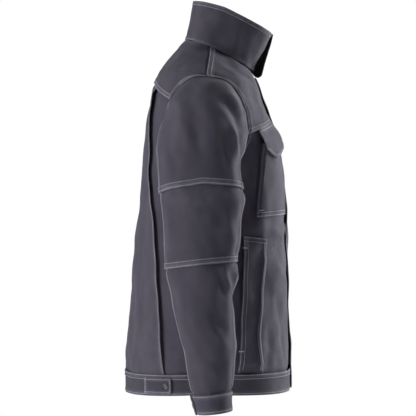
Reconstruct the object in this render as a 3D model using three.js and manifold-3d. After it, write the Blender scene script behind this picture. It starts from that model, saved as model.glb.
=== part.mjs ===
// Welding jacket, hanging with its sleeves down: stand collar, shoulder yokes, action-pleat back,
// storm flap over a front zip, flapped chest pockets, side-entry hand pockets, three-part sleeves.
// Millimetres, +Z up. The wearer faces -Y, so the wearer's right sleeve is at -X.
// The origin is the point where a hook carries the hanger loop, inside the back of the neck.

import * as THREE from "three";
import { mergeVertices } from "three/addons/utils/BufferGeometryUtils.js";
import Module from "manifold-3d";

const wasm = await Module();
wasm.setup();

// ---------------------------------------------------------------- driving dimensions

const SHOULDER_WIDTH = 448; // from shoulder point to shoulder point
const BACK_LENGTH = 698; // from the neck seam to the hem, down the centre back
const WIDE = SHOULDER_WIDTH / 448; // every distance from the middle follows the shoulder width
const TALL = BACK_LENGTH / 698; // every height follows the back length

const CLOTH = 1.8; // one panel: shell cloth with its felled seam allowances
const SEAM_GAP = 0.5; // between the edges of two panels that are sewn together
const LAYER_GAP = 0.4; // between two layers that lie on each other
const BAND_CLOTH = 3.0; // waistband and cuffs: doubled cloth with interlining

// Lines of the body, from hem to neck. Each row is one level: the centre front, the side, the centre back.
// y is fore and aft, z is height, halfWidth is half the width there, fullness is how square the girth is.
const BODY_LEVELS = [
  {
    name: "hem", front: [-200, -692], side: [-32, -688], back: [129, -694],
    halfWidth: 200, fullness: 2.5,
  },
  {
    name: "band", front: [-199.5, -650], side: [-32, -648], back: [129, -652],
    halfWidth: 203, fullness: 2.5,
  },
  {
    name: "waist", front: [-197, -520], side: [-32, -520], back: [117, -520],
    halfWidth: 209, fullness: 2.5,
  },
  {
    name: "ribs", front: [-193.3, -330], side: [-32, -345], back: [102, -345],
    halfWidth: 215, fullness: 2.5,
  },
  {
    name: "underarm", front: [-186, -252], side: [-32, -262], back: [95, -262],
    halfWidth: 217, fullness: 2.5,
  },
  {
    name: "chest", front: [-174, -182], side: [-33, -182], back: [89, -182],
    halfWidth: 219, fullness: 2.4,
  },
  {
    name: "blade", front: [-150, -120], side: [-34, -120], back: [80, -120],
    halfWidth: 222, fullness: 2.3,
  },
  {
    name: "shoulder", front: [-136, -84], side: [-35, -84], back: [66, -72],
    halfWidth: 224, fullness: 2.2,
  },
  {
    name: "yoke", front: [-130, -70], side: [-38, -50], back: [36, -28],
    halfWidth: 152, fullness: 2.1,
  },
  {
    name: "neck", front: [-125, -58], side: [-41, -16], back: [7, 4],
    halfWidth: 80, fullness: 2.0,
  },
];
const LEVEL = Object.fromEntries(BODY_LEVELS.map((level, i) => [level.name, i]));

// The stand collar carries on from the neck line.
const COLLAR_LEVELS = [
  { front: [-125, -58], side: [-41, -16], back: [7, 4], halfWidth: 80, fullness: 2.0 },
  { front: [-145, -21], side: [-56, 22], back: [0, 43], halfWidth: 85, fullness: 2.0 },
  { front: [-164, 16], side: [-70, 61], back: [-6, 81], halfWidth: 88, fullness: 2.0 },
];
const COLLAR_CLOTH = 2.2;
const COLLAR_OPENING = 5; // from the centre front to each end of the collar
const COLLAR_FACING_CLOTH = 1.6;

// Armhole, as an oval on the body: turn is degrees round from the centre front, level counts BODY_LEVELS.
const SIDE_TURN = 91; // side seam and shoulder seam
const ARMHOLE = { level: 5.5, halfTurn: 32, halfLevel: 1.5 };

// Right sleeve, from armhole to wrist: the lines along its top, underside, front and back.
const SLEEVE_STATIONS = [
  { top: [-224, -35, -84], under: [-214, -30, -262], front: [-196, -107, -160], back: [-194, 38, -168] },
  { top: [-262, -34, -100], under: [-222, -29, -272], front: [-228, -108, -180], back: [-226, 50, -190] },
  { top: [-300, -32, -140], under: [-229, -28, -284], front: [-258, -105, -215], back: [-258, 57, -222] },
  { top: [-328, -30, -196], under: [-234, -27, -298], front: [-280, -101, -252], back: [-282, 56, -256] },
  { top: [-343, -28, -266], under: [-238, -27, -318], front: [-292, -99, -298], back: [-294, 53, -306] },
  { top: [-348, -27, -355], under: [-242, -26, -368], front: [-296, -97, -364], back: [-298, 48, -370] },
  { top: [-350, -28, -436], under: [-246, -26, -440], front: [-298, -92, -432], back: [-300, 41, -446] },
  { top: [-350, -27, -508], under: [-252, -25, -510], front: [-300, -81, -504], back: [-302, 31, -512] },
  { top: [-349, -35, -592], under: [-258, -33, -592], front: [-302, -84, -590], back: [-304, 15, -594] },
  { top: [-346, -43, -674], under: [-264, -42, -674], front: [-304, -82, -670], back: [-306, -4, -678] },
  { top: [-344, -49, -716], under: [-266, -48, -716], front: [-304, -83, -712], back: [-306, -15, -720] },
];
const SLEEVE_SEAMS = { elbowTop: 4, elbowBottom: 6, cuff: 9, end: SLEEVE_STATIONS.length - 1 };
const ELBOW_SEAM_DROP = 0.25; // how far down the upper elbow seam lies on the outside of the arm, in stations
const CUFF_OVERLAP_DEGREES = 32;

// Seams of the body.
const YOKE_SEAM_FRONT = { centre: 5.42, armhole: 5.0 }; // levels at the centre front and at the armhole
const YOKE_SEAM_BACK = { centre: 6.75, armhole: 5.9 };
const PLEAT_LINE = [[113, 1], [117.5, 2], [128, 2.6], [140, 3.3], [147, 4.2], [150, 5.4], [151, 6.35]];
const PLEAT_DEPTH = 7; // how far the fold of the back stands off the side back
const PLEAT_UNDERLAY = 7; // degrees that the side back runs on under the fold

// Front closure, measured from the centre front.
const FRONT_EDGE = 6; // the front panels stop here, either side of the zip
const ZIP = { toothWidth: 2.5, toothGap: 0.4, toothThick: 2.4, tapeWidth: 15, tapeThick: 0.9 };
const FACING = { from: 8, to: 52, thick: 1.2 };
const FLAP = { sewn: 31, free: -33, thick: 2.6, lowLift: 0.7, lift: 6.9, topLevel: 7.75, hemDrop: 0.08 };
const SLIDER = { width: 10, length: 15, thick: 2.6, z: -345 * TALL, clearance: 1.4, flange: 1.2 };
const PULL = { width: 7, length: 24, thick: 1.6 };
const FLAP_SNAP = { x: -23, radius: 6, studHeight: 1.8, socketHeight: 2.0 };
const FLAP_SNAP_HEIGHTS = [-150, -280, -420, -560].map((z) => z * TALL);

// Chest pocket with its flap, right side.
const CHEST_POCKET = {
  innerX: 52 * WIDE, top: -222 * TALL, bottom: -346 * TALL, sideTurnTop: 46.5, sideTurnBottom: 57.5,
  depth: 11.5, wall: 1.6,
};
const CHEST_FLAP = {
  innerX: 48 * WIDE, sideTurn: 49, length: 50 * TALL, chamfer: 16, thick: 2.2, lowLift: 0.6, standOff: 14,
};
const POCKET_CLEARANCE = 0.4;

// Hand pocket low on the front, right side: a patch with its way in at the rear edge.
const HAND_POCKET = {
  top: -388 * TALL, bottomLevel: 1.02, front: [49, 53.5, 57, 54.5], rear: [69.5, 73.5],
  depth: 12, wall: 1.6,
};

// Waist adjuster.
const WAIST_TAB = { rearTurn: 131.5, frontTurn: 108.5, height: 32, thick: 2.0 };
const SNAP = { radius: 6.5, height: 2.6, bevel: 1.0 };

// Hanger loop: a tape arch that leans back from the hook to the neck seam.
const LOOP = { halfWidth: 27, height: 23, tape: 6, thick: 1.2, lean: [0, 0.7, -0.71] };

const COLOUR = { cloth: 0x45424d, facing: 0x222226, zip: 0x202022, metal: 0x6d6d6b, lining: 0x3a383f };

// ---------------------------------------------------------------- surfaces

const lerp = THREE.MathUtils.lerp;
const radians = THREE.MathUtils.degToRad;
const power = (value, exponent) => Math.sign(value) * Math.abs(value) ** exponent;

const spline = (points) => new THREE.CatmullRomCurve3(points.map((p) => new THREE.Vector3(...p)));

/** A closed girth that changes from level to level, given by lines at its front, side and back. */
function girthSurface(levels) {
  const front = spline(levels.map((l) => [0, l.front[0], l.front[1] * TALL]));
  const side = spline(levels.map((l) => [l.halfWidth * WIDE, l.side[0], l.side[1] * TALL]));
  const back = spline(levels.map((l) => [0, l.back[0], l.back[1] * TALL]));
  const fullness = spline(levels.map((l, i) => [i, l.fullness, 0]));
  const share = (level) => THREE.MathUtils.clamp(level / (levels.length - 1), 0, 1);

  const lines = (level) => ({
    front: front.getPoint(share(level)),
    side: side.getPoint(share(level)),
    back: back.getPoint(share(level)),
    fullness: fullness.getPoint(share(level)).y,
  });
  const point = (turn, level) => {
    const at = lines(level);
    const across = power(Math.sin(radians(turn)), 2 / at.fullness);
    const ahead = power(Math.cos(radians(turn)), 2 / at.fullness);
    const end = ahead > 0 ? at.front : at.back;
    const reach = Math.abs(ahead);
    const [y, z] = [lerp(at.side.y, end.y, reach), lerp(at.side.z, end.z, reach)];
    return new THREE.Vector3(-at.side.x * across, y, z);
  };
  const inside = (turn, level) => {
    const at = lines(level);
    const low = Math.min(at.front.z, at.side.z, at.back.z) - 40;
    return at.front.clone().add(at.back).multiplyScalar(0.5).setZ(low);
  };
  /** The turn at which the girth is that far from the middle, on the wearer's right if x is negative. */
  const turnAtX = (x, level) => {
    const at = lines(level);
    const sine = Math.min(1, (Math.abs(x) / at.side.x) ** (at.fullness / 2));
    return THREE.MathUtils.radToDeg(Math.asin(sine)) * (x > 0 ? -1 : 1);
  };
  /** The level at which the girth is at that height, at one turn. */
  const levelAtHeight = (z, turn) => {
    let [low, high] = [0, levels.length - 1];
    for (let i = 0; i < 40; i++) {
      const middle = (low + high) / 2;
      if (point(turn, middle).z < z) low = middle;
      else high = middle;
    }
    return low;
  };
  return { point, inside, turnAtX, levelAtHeight };
}

/** A point lifted off a surface along its outward normal. */
function lifted(surface, a, b, lift) {
  const step = 0.01;
  const at = surface.point(a, b);
  const alongA = surface.point(a + step * 20, b).sub(surface.point(a - step * 20, b));
  const alongB = surface.point(a, b + step).sub(surface.point(a, b - step));
  const normal = alongA.cross(alongB).normalize();
  if (normal.dot(at.clone().sub(surface.inside(a, b))) < 0) normal.negate();
  return at.addScaledVector(normal, lift);
}

const body = girthSurface(BODY_LEVELS);
const collar = girthSurface(COLLAR_LEVELS);

/** The armhole's edge on the body. Angle 0 is the shoulder point, 90 the front, 180 the underarm. */
function armhole(angle) {
  const turn = SIDE_TURN - ARMHOLE.halfTurn * Math.sin(radians(angle));
  return [turn, ARMHOLE.level + ARMHOLE.halfLevel * Math.cos(radians(angle))];
}

/** The armhole's angle at a level, on its front half. */
const armholeAngle = (level) => {
  const share = (level - ARMHOLE.level) / ARMHOLE.halfLevel;
  return THREE.MathUtils.radToDeg(Math.acos(THREE.MathUtils.clamp(share, -1, 1)));
};

/** The right sleeve: angle runs round it as round the armhole, station counts SLEEVE_STATIONS. */
const sleeve = (() => {
  const sized = ([x, y, z]) => [x * WIDE, y, z * TALL];
  const line = (name) => spline(SLEEVE_STATIONS.map((station) => sized(station[name])));
  const [top, under, front, back] = [line("top"), line("under"), line("front"), line("back")];
  const BLEND_STATIONS = 1.6; // the sleeve head takes the armhole's shape over this stretch
  const share = (station) => THREE.MathUtils.clamp(station / (SLEEVE_STATIONS.length - 1), 0, 1);
  const centre = (station) =>
    top.getPoint(share(station)).add(under.getPoint(share(station))).multiplyScalar(0.5);
  const oval = (angle, station) => {
    const middle = centre(station);
    const up = top.getPoint(share(station)).sub(middle);
    const sine = Math.sin(radians(angle));
    const edge = (sine > 0 ? front : back).getPoint(share(station)).sub(middle);
    return middle.addScaledVector(up, Math.cos(radians(angle))).addScaledVector(edge, Math.abs(sine));
  };
  const point = (angle, station) => {
    const at = oval(angle, station);
    const fade = 1 - THREE.MathUtils.smoothstep(station, 0, BLEND_STATIONS);
    if (fade > 0) at.add(body.point(...armhole(angle)).sub(oval(angle, 0)).multiplyScalar(fade));
    return at;
  };
  return { point, inside: (angle, station) => centre(station) };
})();

// ---------------------------------------------------------------- making solids

/** Turns a closed geometry the right way out if its faces point inwards. */
function facingOut(geometry) {
  const at = geometry.attributes.position;
  const order = geometry.index.array;
  const [a, b, c] = [new THREE.Vector3(), new THREE.Vector3(), new THREE.Vector3()];
  let volume = 0;
  for (let i = 0; i < order.length; i += 3) {
    a.fromBufferAttribute(at, order[i]);
    b.fromBufferAttribute(at, order[i + 1]);
    c.fromBufferAttribute(at, order[i + 2]);
    volume += a.dot(b.cross(c));
  }
  if (volume > 0) return geometry;
  for (let i = 0; i < order.length; i += 3) [order[i], order[i + 1]] = [order[i + 1], order[i]];
  return geometry;
}

/** A box of cells bent into shape: place(u, v, w) is the point for shares across, along and through it. */
function bent(place, across, along) {
  const box = new THREE.BoxGeometry(1, 1, 1, across, along, 1);
  const at = box.attributes.position;
  for (let i = 0; i < at.count; i++) {
    const point = place(at.getX(i) + 0.5, at.getY(i) + 0.5, at.getZ(i) + 0.5);
    at.setXYZ(i, point.x, point.y, point.z);
  }
  box.deleteAttribute("normal");
  box.deleteAttribute("uv");
  return facingOut(mergeVertices(box, 1e-3));
}

/** A sheet on a surface: region(u, v) is the surface's two parameters, lift the height of its outer face. */
function sheet(surface, region, { across, along, thick = CLOTH, lift = () => 0 }) {
  const place = (u, v, w) => {
    const [a, b] = region(u, v);
    return lifted(surface, a, b, lift(u, v) - thick * (1 - w));
  };
  return bent(place, across, along);
}

/** The region between two rails, each a function of v that gives the surface's two parameters. */
const between = (left, right) => (u, v) => {
  const [from, to] = [left(v), right(v)];
  return [lerp(from[0], to[0], u), lerp(from[1], to[1], u)];
};

/** Rails one after the other, the first up to the share v = join. */
const joined = (first, second, join) => (v) =>
  v < join ? first(v / join) : second((v - join) / (1 - join));

const mirrored = (rail) => (v) => [-rail(v)[0], rail(v)[1]];
const turnedRound = (rail) => (v) => [360 - rail(v)[0], rail(v)[1]];

function solidOf(geometry) {
  return new wasm.Manifold(
    new wasm.Mesh({
      numProp: 3,
      vertProperties: new Float32Array(geometry.attributes.position.array),
      triVerts: new Uint32Array(geometry.index.array),
    }),
  );
}

function geometryOf(solid) {
  const mesh = solid.getMesh();
  const geometry = new THREE.BufferGeometry();
  geometry.setAttribute("position", new THREE.BufferAttribute(mesh.vertProperties, 3));
  geometry.setIndex(new THREE.BufferAttribute(mesh.triVerts, 1));
  return geometry;
}

const cut = (block, tool) => geometryOf(solidOf(block).subtract(solidOf(tool)));

/** The same piece for the wearer's left. */
function leftOf(geometry) {
  const other = geometry.clone().scale(-1, 1, 1);
  return facingOut(other);
}

const jacket = new THREE.Group();

const materials = Object.fromEntries(
  Object.entries(COLOUR).map(([name, colour]) => [
    name,
    new THREE.MeshStandardMaterial({
      color: colour,
      roughness: name === "metal" ? 0.35 : 0.9,
      metalness: name === "metal" ? 0.9 : 0,
      side: THREE.DoubleSide,
    }),
  ]),
);

function add(name, geometry, material = materials.cloth) {
  const mesh = new THREE.Mesh(geometry, material);
  mesh.name = name;
  jacket.add(mesh);
}

function addPair(name, geometry, material = materials.cloth) {
  add(`${name}_right`, geometry, material);
  add(`${name}_left`, leftOf(geometry), material);
}

// ---------------------------------------------------------------- body

const LEVEL_GAP = 0.012; // a seam gap of about SEAM_GAP, in levels
const TURN_GAP = 0.12; // the same, in degrees round the body

/** The front edge of a panel at a fixed distance from the centre front, from one level to another. */
const frontEdge = (x, from, to) => (v) => {
  const level = lerp(from, to, v);
  return [body.turnAtX(-x, level), level];
};

/** Along the armhole between two of its angles, a seam gap away from the sleeve's own edge. */
const armholeEdge = (fromAngle, toAngle) => (v) => {
  const angle = lerp(fromAngle, toAngle, v);
  const [turn, level] = armhole(angle);
  return [turn - TURN_GAP * 1.6 * Math.sin(radians(angle)), level + LEVEL_GAP * Math.cos(radians(angle))];
};

const sideSeam = (from, to, offset) => (v) => [SIDE_TURN + offset, lerp(from, to, v)];

function buildFronts() {
  const bottom = LEVEL.band + LEVEL_GAP;
  const seamAngle = armholeAngle(YOKE_SEAM_FRONT.armhole);
  const frontSide = joined(
    sideSeam(bottom, LEVEL.underarm, -TURN_GAP),
    armholeEdge(180, seamAngle + 0.6),
    0.6,
  );
  const frontCentre = joined(
    frontEdge(FRONT_EDGE, bottom, LEVEL.underarm + 0.1),
    frontEdge(FRONT_EDGE, LEVEL.underarm + 0.1, YOKE_SEAM_FRONT.centre - LEVEL_GAP),
    0.6,
  );
  addPair("front_panel", sheet(body, between(frontCentre, frontSide), { across: 9, along: 12 }));

  const shoulderSeam = sideSeam(LEVEL.shoulder, LEVEL.neck, -TURN_GAP * 3);
  const yokeSide = joined(armholeEdge(seamAngle, 0), shoulderSeam, 0.6);
  const yokeCentre = joined(
    frontEdge(FRONT_EDGE, YOKE_SEAM_FRONT.centre, LEVEL.shoulder),
    frontEdge(FRONT_EDGE, LEVEL.shoulder, LEVEL.neck),
    0.6,
  );
  addPair("front_yoke", sheet(body, between(yokeCentre, yokeSide), { across: 7, along: 10 }));
}

/** How far the back stands off at the fold of each action pleat: most at the folds, none at the centre. */
const pleatLift = (u, v) => PLEAT_DEPTH * Math.abs(2 * u - 1) ** 3 * THREE.MathUtils.smoothstep(v, 0, 0.12);

function buildBack() {
  const yokeArmhole = armholeEdge(360 - armholeAngle(YOKE_SEAM_BACK.armhole), 360);
  const yokeRight = joined(yokeArmhole, sideSeam(LEVEL.shoulder, LEVEL.neck, TURN_GAP * 3), 0.55);
  const seamRise = YOKE_SEAM_BACK.centre - YOKE_SEAM_BACK.armhole;
  const seamTurn = yokeArmhole(0)[0];
  const arched = (region, rise, topFade) => (u, v) => {
    const [turn, level] = region(u, v);
    return [turn, level + rise * Math.sin(Math.PI * u) ** 1.5 * (topFade ? 1 - v : v)];
  };
  const yoke = arched(between(yokeRight, turnedRound(yokeRight)), seamRise, true);
  add("back_yoke", sheet(body, yoke, { across: 16, along: 9 }));

  const pleatCurve = new THREE.SplineCurve(PLEAT_LINE.map((p) => new THREE.Vector2(...p)));
  const bottom = LEVEL.band + LEVEL_GAP;
  const seamLevel = (turn) => {
    const u = (turn - seamTurn) / (360 - 2 * seamTurn);
    return YOKE_SEAM_BACK.armhole + seamRise * Math.max(0, Math.sin(Math.PI * u)) ** 1.5;
  };
  const pleat = (offset) => (v) => {
    const at = pleatCurve.getPoint(v);
    const level = lerp(bottom, seamLevel(at.x + offset) - 0.03, v);
    return [at.x + offset, level];
  };
  const backRegion = (u, v) => {
    const left = pleat(0)(v);
    const turn = lerp(left[0], 360 - left[0], u);
    const top = seamLevel(turn) - 0.03;
    return [turn, lerp(bottom, top, v)];
  };
  add("back_panel", sheet(body, backRegion, { across: 14, along: 12, lift: pleatLift }));

  const sideTop = 360 - armholeAngle(YOKE_SEAM_BACK.armhole) - 1.2;
  const sideBack = joined(sideSeam(bottom, LEVEL.underarm, TURN_GAP), armholeEdge(180, sideTop), 0.6);
  const underlay = pleat(PLEAT_UNDERLAY);
  const sideRegion = (u, v) => {
    const [turn, level] = between(sideBack, underlay)(u, v);
    const [fromLevel, toLevel] = [sideBack(1)[1], underlay(1)[1]];
    return [turn, level + (seamLevel(turn) - 0.03 - lerp(fromLevel, toLevel, u)) * v ** 3];
  };
  const sunk = (u) => -(CLOTH + LAYER_GAP + 0.4) * THREE.MathUtils.smoothstep(u, 0.3, 0.72);
  addPair("side_back", sheet(body, sideRegion, { across: 7, along: 12, lift: sunk }));
}

function buildWaistband() {
  const strip = (fromTurn, toTurn, across) =>
    sheet(body, (u, v) => [lerp(fromTurn(v), toTurn(v), u), lerp(0, LEVEL.band - LEVEL_GAP, v)], {
      across,
      along: 1,
      thick: BAND_CLOTH,
    });
  const atFront = (v) => body.turnAtX(-FRONT_EDGE, v);
  addPair("waistband_front", strip(atFront, () => SIDE_TURN - TURN_GAP, 10));
  add("waistband_back", strip(() => SIDE_TURN + TURN_GAP, () => 360 - SIDE_TURN - TURN_GAP, 20));
}

// ---------------------------------------------------------------- collar

function buildCollar() {
  const end = (v) => collar.turnAtX(-COLLAR_OPENING, v * 2);
  const ring = (inset) => (u, v) => {
    const low = LEVEL_GAP * 4 + inset;
    const level = lerp(low, COLLAR_LEVELS.length - 1 - inset, v);
    return [lerp(end(v), 360 - end(v), u), level];
  };
  add("collar", sheet(collar, ring(0), { across: 24, along: 4, thick: COLLAR_CLOTH }));
  const facingLift = () => -COLLAR_CLOTH - LAYER_GAP;
  const facingSizes = { across: 24, along: 4, thick: COLLAR_FACING_CLOTH, lift: facingLift };
  const facing = sheet(collar, ring(0.03), facingSizes);
  add("collar_facing", facing, materials.lining);

  // The left end of the collar runs on as a closing tab. It stands open, forward of the right end.
  const hinge = [new THREE.Vector3(1.5, -127, -57 * TALL), new THREE.Vector3(1.5, -164, 14 * TALL)];
  const free = [new THREE.Vector3(-13, -150, -63 * TALL), new THREE.Vector3(-6, -171, 15 * TALL)];
  const tab = (u, v, w) => {
    const at = hinge[0].clone().lerp(hinge[1], v).lerp(free[0].clone().lerp(free[1], v), u);
    at.z -= 7 * Math.sin(Math.PI * u) * (1 - v);
    return at.add(new THREE.Vector3(0.8, -0.4, 0).multiplyScalar((w - 0.5) * COLLAR_CLOTH * 1.1));
  };
  add("collar_tab", bent(tab, 3, 4), materials.facing);
}

// ---------------------------------------------------------------- sleeves

function buildSleeve() {
  // The angle counts up through the front of the arm, so the outer half is -90 to 90.
  const section = (fromAngle, toAngle, from, to) => (u, v) => {
    const angle = lerp(fromAngle, toAngle, u);
    return [angle, lerp(from(angle), to(angle), v)];
  };
  const armholeEnd = () => 0.02;
  const elbowTop = (angle) => SLEEVE_SEAMS.elbowTop + ELBOW_SEAM_DROP * Math.cos(radians(angle));
  const parts = [
    ["upper", armholeEnd, (angle) => elbowTop(angle) - LEVEL_GAP, 8],
    ["elbow", elbowTop, () => SLEEVE_SEAMS.elbowBottom - LEVEL_GAP, 4],
    ["forearm", () => SLEEVE_SEAMS.elbowBottom, () => SLEEVE_SEAMS.cuff - LEVEL_GAP, 5],
  ];
  const edge = 0.35; // degrees from the seam between the outer and the under sleeve
  for (const [name, from, to, along] of parts) {
    const outer = section(-90 + edge, 90 - edge, from, to);
    const under = section(90 + edge, 270 - edge, from, to);
    addPair(`sleeve_${name}`, sheet(sleeve, outer, { across: 10, along }));
    addPair(`undersleeve_${name}`, sheet(sleeve, under, { across: 10, along }));
  }

  // The cuff laps over itself on the back of the wrist, under its press stud.
  const start = 250;
  const sweep = 360 + CUFF_OVERLAP_DEGREES;
  const lapFrom = 1 - (CUFF_OVERLAP_DEGREES * 1.25) / sweep;
  const lap = (u) => (BAND_CLOTH + LAYER_GAP) * THREE.MathUtils.smoothstep(u, lapFrom - 0.06, lapFrom);
  const wrap = (u, v) => [start + sweep * u, lerp(SLEEVE_SEAMS.cuff, SLEEVE_SEAMS.end, v)];
  const place = (u, v, w) => {
    const [angle, station] = wrap(u, v);
    return lifted(sleeve, angle, station, lap(u) - BAND_CLOTH * (1 - w));
  };
  addPair("cuff", bent(place, 26, 1));
  const snapAngle = start + CUFF_OVERLAP_DEGREES / 2;
  addSnap("cuff_snap", sleeve, snapAngle, SLEEVE_SEAMS.cuff + 0.5, BAND_CLOTH + 2 * LAYER_GAP);
}

// ---------------------------------------------------------------- fasteners

/** A round cap lying on a surface. */
function capOn(surface, a, b, lift, radius, height, bevel = 0) {
  const profile = [
    [0, 0],
    [radius, 0],
    [radius, height - bevel],
    [radius - bevel, height],
    [0, height],
  ];
  const points = profile
    .filter((p, i) => bevel > 0 || i !== 3)
    .map((p) => new THREE.Vector2(...p));
  const cap = new THREE.LatheGeometry(points, 14).rotateX(Math.PI / 2);
  cap.deleteAttribute("normal");
  cap.deleteAttribute("uv");
  const foot = lifted(surface, a, b, lift);
  const outward = lifted(surface, a, b, lift + 1).sub(foot);
  const turn = new THREE.Quaternion().setFromUnitVectors(new THREE.Vector3(0, 0, 1), outward);
  return facingOut(mergeVertices(cap.applyQuaternion(turn).translate(foot.x, foot.y, foot.z), 1e-3));
}

function addSnap(name, surface, a, b, lift) {
  addPair(name, capOn(surface, a, b, lift, SNAP.radius, SNAP.height, SNAP.bevel), materials.metal);
}

function buildWaistTab() {
  const middle = LEVEL.band / 2;
  const heightShare = WAIST_TAB.height / (42 * TALL);
  const levels = (v) => middle + (v - 0.5) * heightShare;
  const turn = (u, v) => {
    const point = 2.5 * Math.abs(2 * v - 1) ** 2;
    return lerp(WAIST_TAB.rearTurn, WAIST_TAB.frontTurn + point, u);
  };
  const lift = LAYER_GAP + WAIST_TAB.thick;
  const region = (u, v) => [turn(u, v), levels(v)];
  const tab = sheet(body, region, { across: 5, along: 2, thick: WAIST_TAB.thick, lift: () => lift });
  addPair("waist_tab", tab);
  addSnap("waist_snap", body, WAIST_TAB.frontTurn + 4.4, middle, lift + LAYER_GAP + 0.3);
}

// ---------------------------------------------------------------- front closure

function buildZip() {
  const [low, high] = [0.06, LEVEL.neck - 0.2];
  const alongFront = (fromX, toX) => (u, v) => {
    const level = lerp(low, high, v);
    return [body.turnAtX(-lerp(fromX, toX, u), level), level];
  };
  const toothFrom = ZIP.toothGap;
  const toothTo = ZIP.toothGap + ZIP.toothWidth;
  const teeth = sheet(body, alongFront(toothFrom, toothTo), {
    across: 1,
    along: 15,
    thick: ZIP.toothThick,
    lift: () => -CLOTH / 2 + ZIP.toothThick / 4,
  });
  addPair("zip_teeth", teeth, materials.zip);
  const tapeLift = -CLOTH - LAYER_GAP - 0.3;
  const tapeFrom = toothTo + LAYER_GAP;
  const tape = sheet(body, alongFront(tapeFrom, tapeFrom + ZIP.tapeWidth), {
    across: 1,
    along: 15,
    thick: ZIP.tapeThick,
    lift: () => tapeLift - BAND_CLOTH + CLOTH,
  });
  addPair("zip_tape", tape, materials.zip);
  const facingLift = tapeLift - BAND_CLOTH + CLOTH - ZIP.tapeThick - LAYER_GAP;
  const facing = sheet(body, alongFront(FACING.from, FACING.to), {
    across: 2,
    along: 15,
    thick: FACING.thick,
    lift: () => facingLift,
  });
  addPair("front_facing", facing, materials.lining);
}

/** A solid that runs straight along the zip at one height, from a section drawn across it. */
function acrossZip(section, length, z, lift) {
  const shape = new THREE.Shape(section.map((p) => new THREE.Vector2(...p)));
  const solid = new THREE.ExtrudeGeometry(shape, { depth: length, bevelEnabled: false });
  solid.deleteAttribute("normal");
  solid.deleteAttribute("uv");
  const level = body.levelAtHeight(z, 0);
  const at = body.point(0, level);
  return facingOut(mergeVertices(solid.translate(0, at.y - lift, z - length), 1e-3));
}

function buildSlider() {
  const half = SLIDER.width / 2;
  const channel = ZIP.toothGap + ZIP.toothWidth + 0.7;
  // Section in x and y: a plate over the teeth, with a flange down each side of them.
  const section = [
    [-half, SLIDER.flange],
    [-channel, SLIDER.flange],
    [-channel, 0],
    [channel, 0],
    [channel, SLIDER.flange],
    [half, SLIDER.flange],
    [half, -SLIDER.thick + 1],
    [half - 1, -SLIDER.thick],
    [-half + 1, -SLIDER.thick],
    [-half, -SLIDER.thick + 1],
  ];
  add("zip_slider", acrossZip(section, SLIDER.length, SLIDER.z, SLIDER.clearance), materials.metal);
  const pullHalf = PULL.width / 2;
  const plate = new THREE.Shape([
    new THREE.Vector2(-pullHalf * 0.6, 0),
    new THREE.Vector2(pullHalf * 0.6, 0),
    new THREE.Vector2(pullHalf, -PULL.length * 0.5),
    new THREE.Vector2(pullHalf * 0.8, -PULL.length),
    new THREE.Vector2(-pullHalf * 0.8, -PULL.length),
    new THREE.Vector2(-pullHalf, -PULL.length * 0.5),
  ]);
  const middle = new THREE.Vector2(0, -PULL.length * 0.78);
  const centre = new THREE.Vector2();
  const corner = (i) => new THREE.Vector2(0, 1.6).rotateAround(centre, (i * Math.PI) / 3).add(middle);
  const hole = Array.from({ length: 6 }, (_, i) => corner(i));
  plate.holes.push(new THREE.Path(hole));
  const pull = new THREE.ExtrudeGeometry(plate, { depth: PULL.thick, bevelEnabled: false });
  pull.deleteAttribute("normal");
  pull.deleteAttribute("uv");
  const front = body.point(0, body.levelAtHeight(SLIDER.z, 0));
  const y = front.y - SLIDER.clearance - SLIDER.thick - LAYER_GAP;
  pull.rotateX(Math.PI / 2).translate(0, y, SLIDER.z - 2);
  add("zip_pull", facingOut(mergeVertices(pull, 1e-3)), materials.metal);
}

/** The storm flap's height above the front, rising from its sewn edge to clear the zip. */
function flapLift(u) {
  return lerp(FLAP.lowLift, FLAP.lift, THREE.MathUtils.smoothstep(u, 0, 0.4)) + FLAP.thick;
}

function buildStormFlap() {
  const region = (u, v) => {
    const level = lerp(FLAP.hemDrop, FLAP.topLevel, v);
    return [body.turnAtX(lerp(FLAP.sewn, FLAP.free, u), level), level];
  };
  add("storm_flap", sheet(body, region, { across: 6, along: 15, thick: FLAP.thick, lift: flapLift }));
  FLAP_SNAP_HEIGHTS.forEach((z, i) => {
    const turn = body.turnAtX(FLAP_SNAP.x, body.levelAtHeight(z, 0));
    const level = body.levelAtHeight(z, turn);
    const stud = capOn(body, turn, level, LAYER_GAP, FLAP_SNAP.radius, FLAP_SNAP.studHeight);
    add(`flap_stud_${i + 1}`, stud, materials.metal);
    const socketLift = FLAP.lift - LAYER_GAP - 0.3 - FLAP_SNAP.socketHeight;
    const socket = capOn(body, turn, level, socketLift, FLAP_SNAP.radius, FLAP_SNAP.socketHeight);
    add(`flap_socket_${i + 1}`, socket, materials.metal);
  });
}

// ---------------------------------------------------------------- pockets

/** A patch that stands off the body: a block with its inside cut out, open where the tool runs past it. */
function pocketShell(region, depth, wall, inset, openTop, openRear) {
  const block = sheet(body, region, {
    across: 6,
    along: 6,
    thick: depth + wall,
    lift: () => depth + wall + LAYER_GAP,
  });
  const inner = (u, v) => region(
    lerp(inset.u, openRear ? 1.2 : 1 - inset.u, u),
    lerp(inset.v, openTop ? 1.2 : 1 - inset.v, v),
  );
  const tool = sheet(body, inner, { across: 6, along: 6, thick: depth + 4, lift: () => depth + LAYER_GAP });
  return cut(block, tool);
}

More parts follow.
